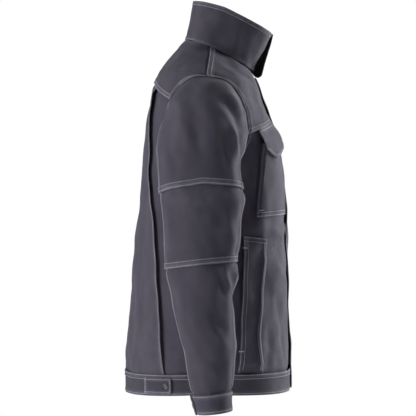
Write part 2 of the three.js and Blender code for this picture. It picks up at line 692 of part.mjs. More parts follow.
function buildChestPocket() {
  const innerRail = (v) => {
    const level = lerp(levelBottom, levelTop, v);
    return [body.turnAtX(-CHEST_POCKET.innerX, level), level];
  };
  const turnMiddle = 30;
  const levelTop = body.levelAtHeight(CHEST_POCKET.top, turnMiddle);
  const levelBottom = body.levelAtHeight(CHEST_POCKET.bottom, turnMiddle);
  const sideRail = (v) => [
    lerp(CHEST_POCKET.sideTurnBottom, CHEST_POCKET.sideTurnTop, v),
    lerp(levelBottom, levelTop, v),
  ];
  const inset = { u: 0.02, v: 0.02 };
  const region = between(innerRail, sideRail);
  addPair("chest_pocket", pocketShell(region, CHEST_POCKET.depth, CHEST_POCKET.wall, inset, true, false));
}

/** The level of the front yoke seam at a turn. */
function yokeSeamLevel(turn) {
  const armholeTurn = armhole(armholeAngle(YOKE_SEAM_FRONT.armhole))[0];
  return lerp(YOKE_SEAM_FRONT.centre, YOKE_SEAM_FRONT.armhole, turn / armholeTurn);
}

function buildChestFlap() {
  const region = (u, v) => {
    const topTurn = lerp(body.turnAtX(-CHEST_FLAP.innerX, 5.3), CHEST_FLAP.sideTurn, u);
    const top = yokeSeamLevel(topTurn) - 0.05;
    const topHeight = body.point(topTurn, top).z;
    const edge = Math.min(u, 1 - u);
    const chamfer = CHEST_FLAP.chamfer * THREE.MathUtils.clamp(1 - edge / 0.17, 0, 1);
    const level = body.levelAtHeight(topHeight - (CHEST_FLAP.length - chamfer) * (1 - v), topTurn);
    return [topTurn, level];
  };
  const rise = (v) => THREE.MathUtils.smoothstep(1 - v, 0, 0.8);
  const lift = (u, v) => lerp(CHEST_FLAP.lowLift, CHEST_FLAP.standOff, rise(v)) + CHEST_FLAP.thick;
  addPair("chest_flap", sheet(body, region, { across: 8, along: 4, thick: CHEST_FLAP.thick, lift }));
}

function buildHandPocket() {
  const top = body.levelAtHeight(HAND_POCKET.top, 60);
  const frontTurns = HAND_POCKET.front.map((turn, i, all) => new THREE.Vector2(turn, all.length - 1 - i));
  const frontCurve = new THREE.SplineCurve(frontTurns);
  const frontRail = (v) => [frontCurve.getPoint(1 - v).x, lerp(HAND_POCKET.bottomLevel, top, v)];
  const rearRail = (v) => [
    lerp(HAND_POCKET.rear[1], HAND_POCKET.rear[0], v),
    lerp(HAND_POCKET.bottomLevel, top, v),
  ];
  const region = between(frontRail, rearRail);
  const inset = { u: 0.04, v: 0.01 };
  addPair("hand_pocket", pocketShell(region, HAND_POCKET.depth, HAND_POCKET.wall, inset, false, true));
}

// ---------------------------------------------------------------- inside the neck

function buildHangerLoop() {
  const lean = new THREE.Vector3(...LOOP.lean).normalize();
  const through = new THREE.Vector3(1, 0, 0).cross(lean);
  const place = (u, v, w) => {
    const angle = Math.PI * (1 - u);
    const reach = 1 + (w * LOOP.thick) / LOOP.height;
    return new THREE.Vector3(LOOP.halfWidth * Math.cos(angle) * reach, 0, 0)
      .addScaledVector(lean, LOOP.height * (1 - Math.sin(angle) * reach))
      .addScaledVector(through, (v - 0.5) * LOOP.tape);
  };
  add("hanger_loop", bent(place, 12, 1), materials.lining);
}

buildFronts();
buildBack();
buildWaistband();
buildCollar();
buildSleeve();
buildWaistTab();
buildZip();
buildSlider();
buildStormFlap();
buildChestPocket();
buildChestFlap();
buildHandPocket();
buildHangerLoop();

export default jacket;
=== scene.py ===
"""A welder's work jacket, hanging by its loop: heavy dark twill with light double topstitching."""
import logging
import math
from dataclasses import dataclass, field, replace
from enum import Enum
from functools import partial
from typing import Callable, Optional, Sequence

import bmesh
import bpy
import numpy as np
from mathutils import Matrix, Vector


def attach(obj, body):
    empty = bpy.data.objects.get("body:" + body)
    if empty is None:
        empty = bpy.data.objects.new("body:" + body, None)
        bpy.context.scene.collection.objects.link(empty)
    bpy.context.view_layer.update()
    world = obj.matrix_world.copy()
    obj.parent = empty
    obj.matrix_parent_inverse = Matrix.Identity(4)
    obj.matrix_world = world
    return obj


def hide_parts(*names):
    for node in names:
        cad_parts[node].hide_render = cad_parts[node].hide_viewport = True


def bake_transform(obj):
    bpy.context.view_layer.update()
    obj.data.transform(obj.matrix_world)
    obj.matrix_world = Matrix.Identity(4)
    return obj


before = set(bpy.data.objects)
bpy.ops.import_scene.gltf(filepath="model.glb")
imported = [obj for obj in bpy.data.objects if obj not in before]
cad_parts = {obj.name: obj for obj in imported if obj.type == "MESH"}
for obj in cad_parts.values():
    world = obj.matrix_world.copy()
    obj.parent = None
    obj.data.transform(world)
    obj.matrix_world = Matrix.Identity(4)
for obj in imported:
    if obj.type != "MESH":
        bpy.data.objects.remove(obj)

log = logging.getLogger("jacket")
Array = np.ndarray
Region = Callable[[Array, Array], tuple[Array, Array]]
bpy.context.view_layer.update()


class Side(Enum):
    """The wearer's sides, with the sign of x on each."""

    RIGHT = -1
    LEFT = 1

    @property
    def word(self) -> str:
        """The side's word in piece names."""
        return self.name.lower()


# ---------------------------------------------------------------- lines and surfaces


def smooth(value: Array, low: float, high: float) -> Array:
    """A soft step from 0 at low to 1 at high.

    Args:
        value: where the step is read.
        low: value at which it starts.
        high: value at which it ends.

    Returns:
        The step's height, from 0 to 1.
    """
    share = np.clip((np.asarray(value, float) - low) / (high - low), 0, 1)
    return share * share * (3 - 2 * share)


def hump(value: Array, centre: float, width: float) -> Array:
    """A soft hump of height 1 at centre that fades over width."""
    return np.exp(-(((np.asarray(value, float) - centre) / width) ** 2))


def spline(points: Sequence[Sequence[float]], share: Array) -> Array:
    """A smooth line through points, each segment taking an equal share.

    Args:
        points: the points it passes through.
        share: how far along, from 0 to 1.

    Returns:
        One point for each share.
    """
    known = np.asarray(points, float)
    line = np.vstack([2 * known[0] - known[1], known, 2 * known[-1] - known[-2]])
    at = np.clip(np.asarray(share, float), 0, 1) * (len(known) - 1)
    start = np.minimum(at.astype(int), len(known) - 2)
    t = (at - start)[..., None]
    p0, p1, p2, p3 = (line[start + i] for i in range(4))

    def reach(a: Array, b: Array) -> Array:
        """The knot distance of two neighbouring points."""
        return np.maximum(np.sum((a - b) ** 2, -1, keepdims=True) ** 0.25, 1e-9)

    d0, d1, d2 = reach(p0, p1), reach(p1, p2), reach(p2, p3)
    leave = ((p1 - p0) / d0 - (p2 - p0) / (d0 + d1) + (p2 - p1) / d1) * d1
    arrive = ((p2 - p1) / d1 - (p3 - p1) / (d1 + d2) + (p3 - p2) / d2) * d1
    bend = -3 * p1 + 3 * p2 - 2 * leave - arrive
    turn = 2 * p1 - 2 * p2 + leave + arrive
    return p1 + leave * t + bend * t**2 + turn * t**3


def unit(vectors: Array) -> Array:
    """The vectors at length one."""
    return vectors / np.maximum(np.linalg.norm(vectors, axis=-1, keepdims=True), 1e-12)


class Surface:
    """A surface with two parameters, and the outward direction at each of its points."""

    step_a = 0.2
    step_b = 0.01

    def point(self, a: Array, b: Array) -> Array:
        """Points of the surface."""
        raise NotImplementedError

    def inside(self, a: Array, b: Array) -> Array:
        """Points that lie inside it."""
        raise NotImplementedError

    def outward(self, a: Array, b: Array) -> Array:
        """Unit vectors that point out of it."""
        along_a = self.point(a + self.step_a, b) - self.point(a - self.step_a, b)
        along_b = self.point(a, b + self.step_b) - self.point(a, b - self.step_b)
        normal = unit(np.cross(along_a, along_b))
        away = np.sum(normal * (self.point(a, b) - self.inside(a, b)), -1, keepdims=True)
        return np.where(away < 0, -normal, normal)


@dataclass(frozen=True)
class Level:
    """One girth: the (y, z) of its front, side and back lines, half its width, and how square it is."""

    front: tuple[float, float]
    side: tuple[float, float]
    back: tuple[float, float]
    half_width: float
    fullness: float


class Girth(Surface):
    """A closed girth that changes from level to level. a is degrees round from the front, b counts levels."""

    def __init__(self, levels: Sequence[Level]) -> None:
        """Keeps the lines that the girth runs through."""
        self.levels = levels
        self.lines = {
            "front": [(0, *row.front) for row in levels],
            "side": [(row.half_width, *row.side) for row in levels],
            "back": [(0, *row.back) for row in levels],
            "fullness": [(i, row.fullness, 0) for i, row in enumerate(levels)],
        }

    def at(self, name: str, level: Array) -> Array:
        """One of the lines at a level."""
        return spline(self.lines[name], np.asarray(level, float) / (len(self.levels) - 1))

    def point(self, a: Array, b: Array) -> Array:
        """Points at a turn and a level."""
        a, b = np.broadcast_arrays(np.asarray(a, float), np.asarray(b, float))
        front, side, back = self.at("front", b), self.at("side", b), self.at("back", b)
        exponent = 2 / self.at("fullness", b)[..., 1]
        sine, cosine = np.sin(np.radians(a)), np.cos(np.radians(a))
        across = np.sign(sine) * np.abs(sine) ** exponent
        reach = (np.abs(cosine) ** exponent)[..., None]
        end = np.where((cosine > 0)[..., None], front, back)
        mixed = side + (end - side) * reach
        return np.stack([-side[..., 0] * across, mixed[..., 1], mixed[..., 2]], -1)

    def inside(self, a: Array, b: Array) -> Array:
        """A point in the middle, a little lower."""
        front, side, back = self.at("front", b), self.at("side", b), self.at("back", b)
        middle = (front + back) / 2
        low = np.minimum(np.minimum(front[..., 2], side[..., 2]), back[..., 2]) - 0.04
        return np.stack([0 * low, middle[..., 1], low], -1)

    def turn_at_x(self, x: Array, level: Array) -> Array:
        """The turn on the front half at which the girth is that far from the middle."""
        side, full = self.at("side", level)[..., 0], self.at("fullness", level)[..., 1]
        share = np.minimum(1, np.abs(x) / side) ** (full / 2)
        return np.where(np.asarray(x) > 0, -1, 1) * np.degrees(np.arcsin(share))

    def level_at_height(self, z: Array, turn: Array) -> Array:
        """The level at which the girth is that high, at one turn."""
        z, turn = np.broadcast_arrays(np.asarray(z, float), np.asarray(turn, float))
        low, high = np.zeros(z.shape), np.full(z.shape, len(self.levels) - 1.0)
        for _ in range(30):
            middle = (low + high) / 2
            under = self.point(turn, middle)[..., 2] < z
            low, high = np.where(under, middle, low), np.where(under, high, middle)
        return low


BAND, UNDERARM, SHOULDER, NECK = 1, 4, 7, 9  # levels of the body, counted from the hem

BODY = Girth([
    Level((-0.200, -0.692), (-0.032, -0.688), (0.129, -0.694), 0.200, 2.5),
    Level((-0.1995, -0.650), (-0.032, -0.648), (0.129, -0.652), 0.203, 2.5),
    Level((-0.197, -0.520), (-0.032, -0.520), (0.117, -0.520), 0.209, 2.5),
    Level((-0.1933, -0.330), (-0.032, -0.345), (0.102, -0.345), 0.215, 2.5),
    Level((-0.186, -0.252), (-0.032, -0.262), (0.095, -0.262), 0.217, 2.5),
    Level((-0.174, -0.182), (-0.033, -0.182), (0.089, -0.182), 0.219, 2.4),
    Level((-0.150, -0.120), (-0.034, -0.120), (0.080, -0.120), 0.222, 2.3),
    Level((-0.136, -0.084), (-0.035, -0.084), (0.066, -0.072), 0.224, 2.2),
    Level((-0.130, -0.070), (-0.038, -0.050), (0.036, -0.028), 0.152, 2.1),
    Level((-0.125, -0.058), (-0.041, -0.016), (0.007, 0.004), 0.080, 2.0),
])

STAND = Girth([
    Level((-0.125, -0.058), (-0.041, -0.016), (0.007, 0.004), 0.080, 2.0),
    Level((-0.145, -0.021), (-0.056, 0.022), (0.000, 0.043), 0.085, 2.0),
    Level((-0.164, 0.016), (-0.070, 0.061), (-0.006, 0.081), 0.088, 2.0),
])

SIDE_TURN = 91.0  # the side seam, in degrees round from the front
TO_LEFT = np.array([-1.0, 1.0, 1.0])
ARMHOLE_LEVEL, ARMHOLE_TURN, ARMHOLE_RISE = 5.5, 32.0, 1.5


def armhole(angle: Array, grow: Array = 0.0) -> tuple[Array, Array]:
    """The armhole's edge on the right of the body.

    Args:
        angle: degrees from the shoulder point, through the front.
        grow: how far outside the edge, as a share of its size.

    Returns:
        The turn and the level.
    """
    size = 1 + np.asarray(grow)
    turn = SIDE_TURN - ARMHOLE_TURN * size * np.sin(np.radians(angle))
    return turn, ARMHOLE_LEVEL + ARMHOLE_RISE * size * np.cos(np.radians(angle))


def armhole_angle(level: float) -> float:
    """The armhole's angle at a level, on its front half."""
    return math.degrees(math.acos(max(-1.0, min(1.0, (level - ARMHOLE_LEVEL) / ARMHOLE_RISE))))


class Tube(Surface):
    """The right sleeve. a runs round it as round the armhole, b counts its stations."""

    stations = (
        ((-0.224, -0.035, -0.084), (-0.214, -0.030, -0.262), (-0.196, -0.107, -0.160), (-0.194, 0.038, -0.168)),
        ((-0.262, -0.034, -0.100), (-0.222, -0.029, -0.272), (-0.228, -0.108, -0.180), (-0.226, 0.050, -0.190)),
        ((-0.300, -0.032, -0.140), (-0.229, -0.028, -0.284), (-0.258, -0.105, -0.215), (-0.258, 0.057, -0.222)),
        ((-0.328, -0.030, -0.196), (-0.234, -0.027, -0.298), (-0.280, -0.101, -0.252), (-0.282, 0.056, -0.256)),
        ((-0.343, -0.028, -0.266), (-0.238, -0.027, -0.318), (-0.292, -0.099, -0.298), (-0.294, 0.053, -0.306)),
        ((-0.348, -0.027, -0.355), (-0.242, -0.026, -0.368), (-0.296, -0.097, -0.364), (-0.298, 0.048, -0.370)),
        ((-0.350, -0.028, -0.436), (-0.246, -0.026, -0.440), (-0.298, -0.092, -0.432), (-0.300, 0.041, -0.446)),
        ((-0.350, -0.027, -0.508), (-0.252, -0.025, -0.510), (-0.300, -0.081, -0.504), (-0.302, 0.031, -0.512)),
        ((-0.349, -0.035, -0.592), (-0.258, -0.033, -0.592), (-0.302, -0.084, -0.590), (-0.304, 0.015, -0.594)),
        ((-0.346, -0.043, -0.674), (-0.264, -0.042, -0.674), (-0.304, -0.082, -0.670), (-0.306, -0.004, -0.678)),
        ((-0.344, -0.049, -0.716), (-0.266, -0.048, -0.716), (-0.304, -0.083, -0.712), (-0.306, -0.015, -0.720)),
    )
    head = 1.6  # the armhole's shape fades out over this many stations

    def line(self, which: int, b: Array) -> Array:
        """The top, underside, front or back line at a station."""
        return spline([row[which] for row in self.stations], np.asarray(b) / (len(self.stations) - 1))

    def oval(self, a: Array, b: Array) -> Array:
        """The sleeve's plain section at a station."""
        middle = self.inside(a, b)
        sine, cosine = np.sin(np.radians(a))[..., None], np.cos(np.radians(a))[..., None]
        edge = np.where(sine > 0, self.line(2, b), self.line(3, b)) - middle
        return middle + (self.line(0, b) - middle) * cosine + edge * np.abs(sine)

    def point(self, a: Array, b: Array) -> Array:
        """Points at an angle and a station; below station 0 they run on over the body, outside the armhole."""
        a, b = np.broadcast_arrays(np.asarray(a, float), np.asarray(b, float))
        above = np.maximum(b, 0)
        fade = (1 - smooth(above, 0, self.head))[..., None]
        on_body = BODY.point(*armhole(a, np.maximum(-b, 0)))
        return self.oval(a, above) + (on_body - self.oval(a, np.zeros_like(b))) * fade

    def inside(self, a: Array, b: Array) -> Array:
        """The middle of the sleeve."""
        above = np.maximum(np.asarray(b, float), 0)
        return (self.line(0, above) + self.line(1, above)) / 2


TUBE = Tube()


# ---------------------------------------------------------------- the way the cloth falls


class Facing(Enum):
    """The way a stretch of cloth faces, and the two coordinates that a fold on it is drawn in."""

    SIDE = ((-1.0, 0.0, 0.0), (1, 2))
    INNER = ((1.0, 0.0, 0.0), (1, 2))
    FRONT = ((0.0, -1.0, 0.0), (0, 2))
    BACK = ((0.0, 1.0, 0.0), (0, 2))


@dataclass(frozen=True)
class Fold:
    """A ridge in the cloth on the wearer's right, or a hollow where its height is negative."""

    facing: Facing
    line: tuple[tuple[float, float], ...]
    width: float
    height: float

    def lift(self, points: Array, outward: Array) -> Array:
        """How far the fold moves the cloth outwards.

        Args:
            points: points of the cloth.
            outward: its outward directions.

        Returns:
            Distances along the outward directions.
        """
        direction, axes = self.facing.value
        flat = points[..., list(axes)]
        nearest = np.full(flat.shape[:-1], np.inf)
        taper = np.zeros(flat.shape[:-1])
        count = len(self.line) - 1
        for i, (start, end) in enumerate(zip(self.line, self.line[1:])):
            start, way = np.array(start), np.array(end) - np.array(start)
            share = np.clip((flat - start) @ way / (way @ way), 0, 1)
            away = np.linalg.norm(flat - start - share[..., None] * way, axis=-1)
            closer = away < nearest
            nearest = np.where(closer, away, nearest)
            taper = np.where(closer, (i + share) / count, taper)
        strength = np.sin(np.pi * np.clip(0.06 + 0.88 * taper, 0, 1)) ** 0.7
        facing = smooth(outward @ np.array(direction), 0.05, 0.6)
        return self.height * strength * facing * np.exp(-((nearest / self.width) ** 1.6))


def folds(facing: Facing, *rows: tuple[tuple, float, float]) -> tuple[Fold, ...]:
    """Folds that face one way, each from its line, width and height in millimetres."""
    return tuple(Fold(facing, tuple((a / 1000, z / 1000) for a, z in line), width / 1000, height / 1000)
                 for line, width, height in rows)


class Cloth:
    """How the jacket's cloth lies: its folds, and its slight unevenness everywhere."""

    body_folds = (
        # The chest lies a little flatter than the plain surface, and so does the upper back.
        *folds(Facing.FRONT,
            (((0, -40), (0, -150), (0, -400), (0, -700)), 120, -4.4),
        ),
        *folds(Facing.BACK,
            (((0, -60), (0, -150), (0, -300)), 120, -1.6),
        ),
        # Below the armhole at the front, where the chest falls away under the arm.
        *folds(Facing.SIDE,
            (((-105, -215), (-118, -330), (-112, -400)), 16, -4),
            (((-146, -360), (-120, -372), (-96, -352)), 10, 4.5),
            (((-140, -386), (-110, -390)), 10, -3),
        ),
        *folds(Facing.FRONT,
            (((-170, -370), (-120, -385), (-60, -372)), 11, 4.6),
            (((-165, -430), (-110, -470), (-70, -560)), 20, 5.8),
            (((-150, -500), (-115, -560), (-105, -630)), 14, -5.2),
        ),
        *folds(Facing.SIDE,
            (((-172, -420), (-180, -520), (-165, -630)), 16, 3.5),
            (((-150, -520), (-158, -600), (-150, -645)), 10, -3),
        ),
        # Chest and yoke.
        *folds(Facing.FRONT,
            (((-175, -118), (-120, -128), (-60, -118)), 18, -2.5),
            (((-190, -150), (-150, -140), (-110, -150)), 12, 2.5),
        ),
        *folds(Facing.SIDE,
            (((-120, -100), (-128, -140), (-140, -165)), 10, -2.2),
        ),
        # Back: drags from the blades down to the band.
        *folds(Facing.BACK,
            (((-150, -150), (-120, -280), (-125, -450)), 22, -4),
            (((-75, -180), (-68, -340), (-85, -560)), 26, 4.5),
            (((-20, -300), (-30, -450), (-18, -640)), 22, -3.5),
            (((-110, -480), (-130, -560), (-120, -640)), 16, 4),
            (((-160, -98), (-110, -78), (-50, -66)), 12, 1.8),
        ),
        *folds(Facing.SIDE,
            (((62, -240), (52, -380), (46, -480)), 10, -3),
            (((80, -560), (70, -610), (58, -640)), 12, 4.5),
        ),
    )
    sleeve_folds = (
        # Sleeve head: the fulness under the yoke edge, and the drags towards the front of the armhole.
        *folds(Facing.SIDE,
            (((-70, -118), (-88, -130), (-103, -150), (-108, -182)), 6, 6.2),
            (((-64, -128), (-78, -142), (-91, -160), (-97, -190)), 7, -6),
            (((-56, -142), (-70, -158), (-80, -178)), 6, 3.2),
            (((-80, -178), (-87, -202), (-94, -236)), 5.5, 6.6),
            (((-92, -192), (-98, -214), (-101, -240)), 5, -5.6),
            (((-64, -196), (-70, -230), (-78, -272)), 9, -4.4),
        ),
        *folds(Facing.FRONT,
            (((-335, -254), (-290, -258), (-245, -254)), 26, -6.8),
        ),
        *folds(Facing.SIDE,
            (((22, -120), (12, -160), (2, -225)), 15, 5.6),
            (((16, -94), (28, -112), (40, -142)), 14, 6),
            (((-6, -120), (-14, -180), (-22, -260)), 16, -4.6),
            (((40, -160), (34, -215), (22, -276)), 14, -3.6),
            # Elbow section.
            (((10, -300), (2, -350), (4, -420)), 18, 3),
            (((-60, -320), (-52, -370), (-62, -420)), 16, -3.4),
            (((-88, -400), (-74, -372), (-70, -336)), 10, 2.6),
            # Forearm: the break of the elbow at the front, then long soft drags to the wrist.
            (((-64, -440), (-70, -462), (-80, -486)), 5.5, 5),
            (((-56, -450), (-62, -472), (-70, -500)), 7, -4.5),
            (((-82, -445), (-84, -462), (-83, -480)), 6, -4),
            (((-40, -520), (-54, -545), (-74, -560)), 10, -3.6),
            (((-46, -548), (-60, -572), (-76, -588)), 10, 3.4),
            (((-30, -600), (-48, -618), (-70, -626)), 10, -3),
            (((-36, -626), (-52, -642), (-70, -652)), 9, 2.6),
            (((18, -470), (4, -540), (-10, -620)), 16, 2.8),
            (((-12, -460), (-18, -520), (-28, -600)), 15, -2.6),
        ),
        *folds(Facing.BACK,
            (((-300, -400), (-302, -580), (-306, -760)), 60, -7),
        ),
        # The front of the arm.
        *folds(Facing.FRONT,
            (((-220, -176), (-250, -190), (-290, -196)), 11, 4.5),
            (((-236, -226), (-262, -240), (-300, -246)), 12, -4.6),
            (((-240, -288), (-270, -312), (-310, -320)), 11, 3.4),
            (((-330, -400), (-300, -425), (-262, -420)), 11, -3.6),
            (((-334, -440), (-300, -462), (-266, -456)), 10, 4.2),
            (((-330, -480), (-300, -498), (-268, -494)), 11, -3.4),
            (((-322, -560), (-296, -590), (-276, -640)), 12, 3),
        ),
        # The back of the arm and the armpit.
        *folds(Facing.BACK,
            (((-240, -220), (-262, -262), (-290, -300)), 12, 4),
            (((-228, -240), (-246, -290), (-262, -340)), 12, -3.4),
            (((-330, -380), (-306, -460), (-300, -540)), 16, 3.4),
            (((-274, -420), (-284, -520), (-280, -620)), 14, -3),
        ),
        *folds(Facing.INNER,
            (((-70, -300), (-30, -330), (20, -320)), 12, 3),
        ),
    )

    @staticmethod
    def unevenness(points: Array) -> Array:
        """A slight waviness with no pattern, the same at the same place on every piece."""
        x, y, z = points[..., 0], points[..., 1], points[..., 2]
        total = np.zeros(x.shape)
        waves = (
            (31, 17, 23, 0.4, 0.0012), (-19, 38, 29, 1.9, 0.0010), (52, -54, 31, 2.7, 0.0009),
            (73, 81, -38, 0.9, 0.0007), (-96, 104, 49, 3.8, 0.00045), (148, 157, -71, 5.1, 0.00028),
            (60, -230, 95, 2.2, 0.00020),
        )
        for kx, ky, kz, phase, height in waves:
            total += height * np.sin(kx * x + ky * y + kz * z + phase + 1.3 * np.sin(0.6 * kz * x - 0.5 * kx * z))
        return total

    @classmethod
    def lift(cls, points: Array, outward: Array, folds: Sequence[Fold]) -> Array:
        """How far the cloth stands off its plain surface.

        Args:
            points: points of the plain surface, on both sides of the jacket.
            outward: its outward directions.
            folds: the folds, drawn for the wearer's right.

        Returns:
            Distances along the outward directions.
        """
        total = cls.unevenness(points)
        left_points = points * TO_LEFT + np.array([0.006, 0.004, -0.009])  # so that the sides aren't quite alike
        for fold in folds:
            total += fold.lift(points, outward)
            total += 0.85 * fold.lift(left_points, outward * TO_LEFT)
        return total


# ---------------------------------------------------------------- shader expressions


class Shade:
    """A shader socket that can be used in arithmetic; each expression adds its Math node."""

    def __init__(self, tree: bpy.types.NodeTree, socket: bpy.types.NodeSocket) -> None:
        """Wraps an output socket of a tree."""
        self.tree, self.socket = tree, socket

    def _math(self, operation: str, *values: "Shade | float") -> "Shade":
        """One Math node on these values."""
        node = self.tree.nodes.new("ShaderNodeMath")
        node.operation = operation
        for i, value in enumerate(values):
            if isinstance(value, Shade):
                self.tree.links.new(value.socket, node.inputs[i])
            else:
                node.inputs[i].default_value = value
        return Shade(self.tree, node.outputs[0])

    def __add__(self, other: "Shade | float") -> "Shade":
        """Sum."""
        return self._math("ADD", self, other)

    __radd__ = __add__

    def __mul__(self, other: "Shade | float") -> "Shade":
        """Product."""
        return self._math("MULTIPLY", self, other)

    def __sub__(self, other: "Shade | float") -> "Shade":
        """Difference."""
        return self._math("SUBTRACT", self, other)

    def sine(self) -> "Shade":
        """Sine."""
        return self._math("SINE", self)

    def clamped(self) -> "Shade":
        """Held between 0 and 1."""
        return self._math("MINIMUM", self._math("MAXIMUM", self, 0.0), 1.0)


def add_node(tree: bpy.types.NodeTree, kind: str, settings: Optional[dict] = None,
             inputs: Optional[dict] = None) -> bpy.types.Node:
    """Any node, with its settings made first and then its sockets.

    Args:
        tree: the tree it is added to.
        kind: the node's type.
        settings: attribute values, with "stops" for a colour ramp.
        inputs: values, Shades or sockets, by socket name or number.

    Returns:
        The node.
    """
    made = tree.nodes.new(kind)
    for key, value in (settings or {}).items():
        if key == "stops":
            ramp = made.color_ramp
            for i, (place, colour) in enumerate(value):
                stop = ramp.elements[i] if i < len(ramp.elements) else ramp.elements.new(place)
                stop.position, stop.color = place, (*colour, 1.0)
        else:
            setattr(made, key, value)
    for key, value in (inputs or {}).items():
        value = value.socket if isinstance(value, Shade) else value
        if isinstance(value, bpy.types.NodeSocket):
            tree.links.new(value, made.inputs[key])
        else:
            made.inputs[key].default_value = value
    return made


class Finish:
    """A material under construction: one Principled shader and the nodes that feed it."""

    def __init__(self, name: str, constants: dict[str, object]) -> None:
        """Starts a material.

        Args:
            name: its name.
            constants: values that are the same all over, by shader socket.
        """
        self.material = bpy.data.materials.new(name)
        self.material.use_nodes = True
        self.tree = self.material.node_tree
        self.shader = self.tree.nodes["Principled BSDF"]
        for socket, value in constants.items():
            self.shader.inputs[socket].default_value = value

    def node(self, kind: str, settings: Optional[dict] = None, inputs: Optional[dict] = None) -> bpy.types.Node:
        """A node of this material."""
        return add_node(self.tree, kind, settings, inputs)

    def noise(self, scale: float, detail: float) -> Shade:
        """Noise from 0 to 1, on Object coordinates."""
        at = self.node("ShaderNodeTexCoord").outputs["Object"]
        made = self.node("ShaderNodeTexNoise", None, {"Vector": at, "Scale": scale, "Detail": detail})
        return Shade(self.tree, made.outputs["Fac"])

    def attribute(self, name: str) -> Shade:
        """A number stored on the mesh."""
        return Shade(self.tree, self.node("ShaderNodeAttribute", {"attribute_name": name}).outputs["Fac"])

    def colour(self, factor: Shade, stops: Sequence[tuple[float, tuple[float, float, float]]]) -> bpy.types.NodeSocket:
        """A colour that follows a factor through stops."""
        return self.node("ShaderNodeValToRGB", {"stops": stops}, {"Fac": factor}).outputs["Color"]

    def mix(self, factor: Shade | float, first: object, second: object) -> bpy.types.NodeSocket:
        """Two colours mixed."""
        made = self.node("ShaderNodeMix", {"data_type": "RGBA"}, {0: factor, 6: first, 7: second})
        return made.outputs[2]

    def feed(self, socket: str, value: object) -> None:
        """Links a value that changes over the surface to a socket of the shader."""
        self.tree.links.new(value.socket if isinstance(value, Shade) else value, self.shader.inputs[socket])

    def bump(self, *layers: tuple[Shade, float]) -> None:
        """Bumps on top of each other, each a height from 0 to 1 and its depth in metres."""
        normal = None
        for height, depth in layers:
            inputs = {"Height": height, "Distance": depth, "Strength": 1.0}
            if normal is not None:
                inputs["Normal"] = normal
            normal = self.node("ShaderNodeBump", None, inputs).outputs["Normal"]
        self.feed("Normal", normal)


@dataclass(frozen=True)
class Twill:
    """Woven cloth: a diagonal twill of dark yarns with a light heather, paler where it rubs at raised seam edges, and
    paler on fold crests, partly as wear and partly as a painted highlight.
    """

    name: str
    dark: tuple[float, float, float]
    pale: tuple[float, float, float]
    rubbed: tuple[float, float, float]
    sheen: float = 0.08
    pitch: float = 0.0011  # from one twill line to the next

    def make(self) -> bpy.types.Material:
        """Builds the material. UV coordinates are metres of cloth."""
        finish = Finish(self.name, {
            "Metallic": 0.0, "Specular IOR Level": 0.22, "Sheen Weight": self.sheen, "Sheen Roughness": 0.45,
            "Sheen Tint": (0.86, 0.84, 1.0, 1.0),
        })
        uv = finish.node("ShaderNodeTexCoord").outputs["UV"]
        parts = finish.node("ShaderNodeSeparateXYZ", None, {0: uv})
        u, v = Shade(finish.tree, parts.outputs[0]), Shade(finish.tree, parts.outputs[1])
        turn = 2 * math.pi / self.pitch
        lines = (u * turn + v * (turn * 1.9)).sine() * 0.5 + 0.5
        weft = (u * (turn * 0.8) - v * (turn * 0.35)).sine() * 0.5 + 0.5
        weave = (lines * 0.65 + weft * 0.35).clamped()
        yarn = finish.noise(900.0, 3.0)
        cloud = finish.noise(7.0, 3.0)
        patch = finish.noise(38.0, 4.0)
        tone = (weave * 0.22 + yarn * 0.34 + cloud * 0.26 + patch * 0.24 - 0.06).clamped()
        base = finish.colour(tone, ((0.25, self.dark), (0.75, self.pale)))
        seam = finish.attribute("seam")
        ridge = finish.attribute("ridge")
        # rub: paler along raised seam edges (wear), and on fold crests from the ridge attribute (partly wear, partly
        # painted highlight).
        rub = (seam * (patch * 0.9 + 0.1) * 0.55 + ridge * patch * 0.16).clamped()
        finish.feed("Base Color", finish.mix(rub, base, (*self.rubbed, 1.0)))
        finish.feed("Roughness", (0.78 + yarn * 0.16 - seam * 0.05).clamped())
        pucker = ((u + v) * (2 * math.pi / 0.011) + patch * 9.0).sine() * seam * 0.5 + 0.5
        finish.bump((pucker, 0.0007), (patch, 0.0012), (weave, 0.00022), (yarn, 0.00012))
        return finish.material


@dataclass(frozen=True)
class Thread:
    """Topstitching thread: pale polyester with a low lustre."""

    name: str
    colour: tuple[float, float, float]

    def make(self) -> bpy.types.Material:
        """Builds the material."""
        finish = Finish(self.name, {"Metallic": 0.0, "Specular IOR Level": 0.4, "Sheen Weight": 0.2})
        fleck = finish.noise(160.0, 2.0)
        worn = finish.noise(14.0, 3.0)
        shade = tuple(0.55 * c for c in self.colour)
        mixed = (fleck * 0.4 + worn * 0.6).clamped()
        finish.feed("Base Color", finish.colour(mixed, ((0.3, shade), (0.7, self.colour))))
        finish.feed("Roughness", (0.5 + fleck * 0.3).clamped())
        finish.bump((finish.noise(2600.0, 1.0), 0.0001))
        return finish.material


@dataclass(frozen=True)
class Metal:
    """Darkened metal with fine scratches, brighter where fingers rub it."""

    name: str
    dark: tuple[float, float, float]
    bright: tuple[float, float, float]
    rough: float = 0.38

    def make(self) -> bpy.types.Material:
        """Builds the material."""
        finish = Finish(self.name, {"Metallic": 1.0, "Specular IOR Level": 0.5})
        cloud, fine = finish.noise(140.0, 3.0), finish.noise(1500.0, 2.0)
        tone = (cloud * 0.7 + fine * 0.3).clamped()
        finish.feed("Base Color", finish.colour(tone, ((0.35, self.dark), (0.65, self.bright))))
        finish.feed("Roughness", (self.rough + cloud * 0.22 - 0.08).clamped())
        finish.bump((fine, 0.00005), (cloud, 0.0001))
        return finish.material


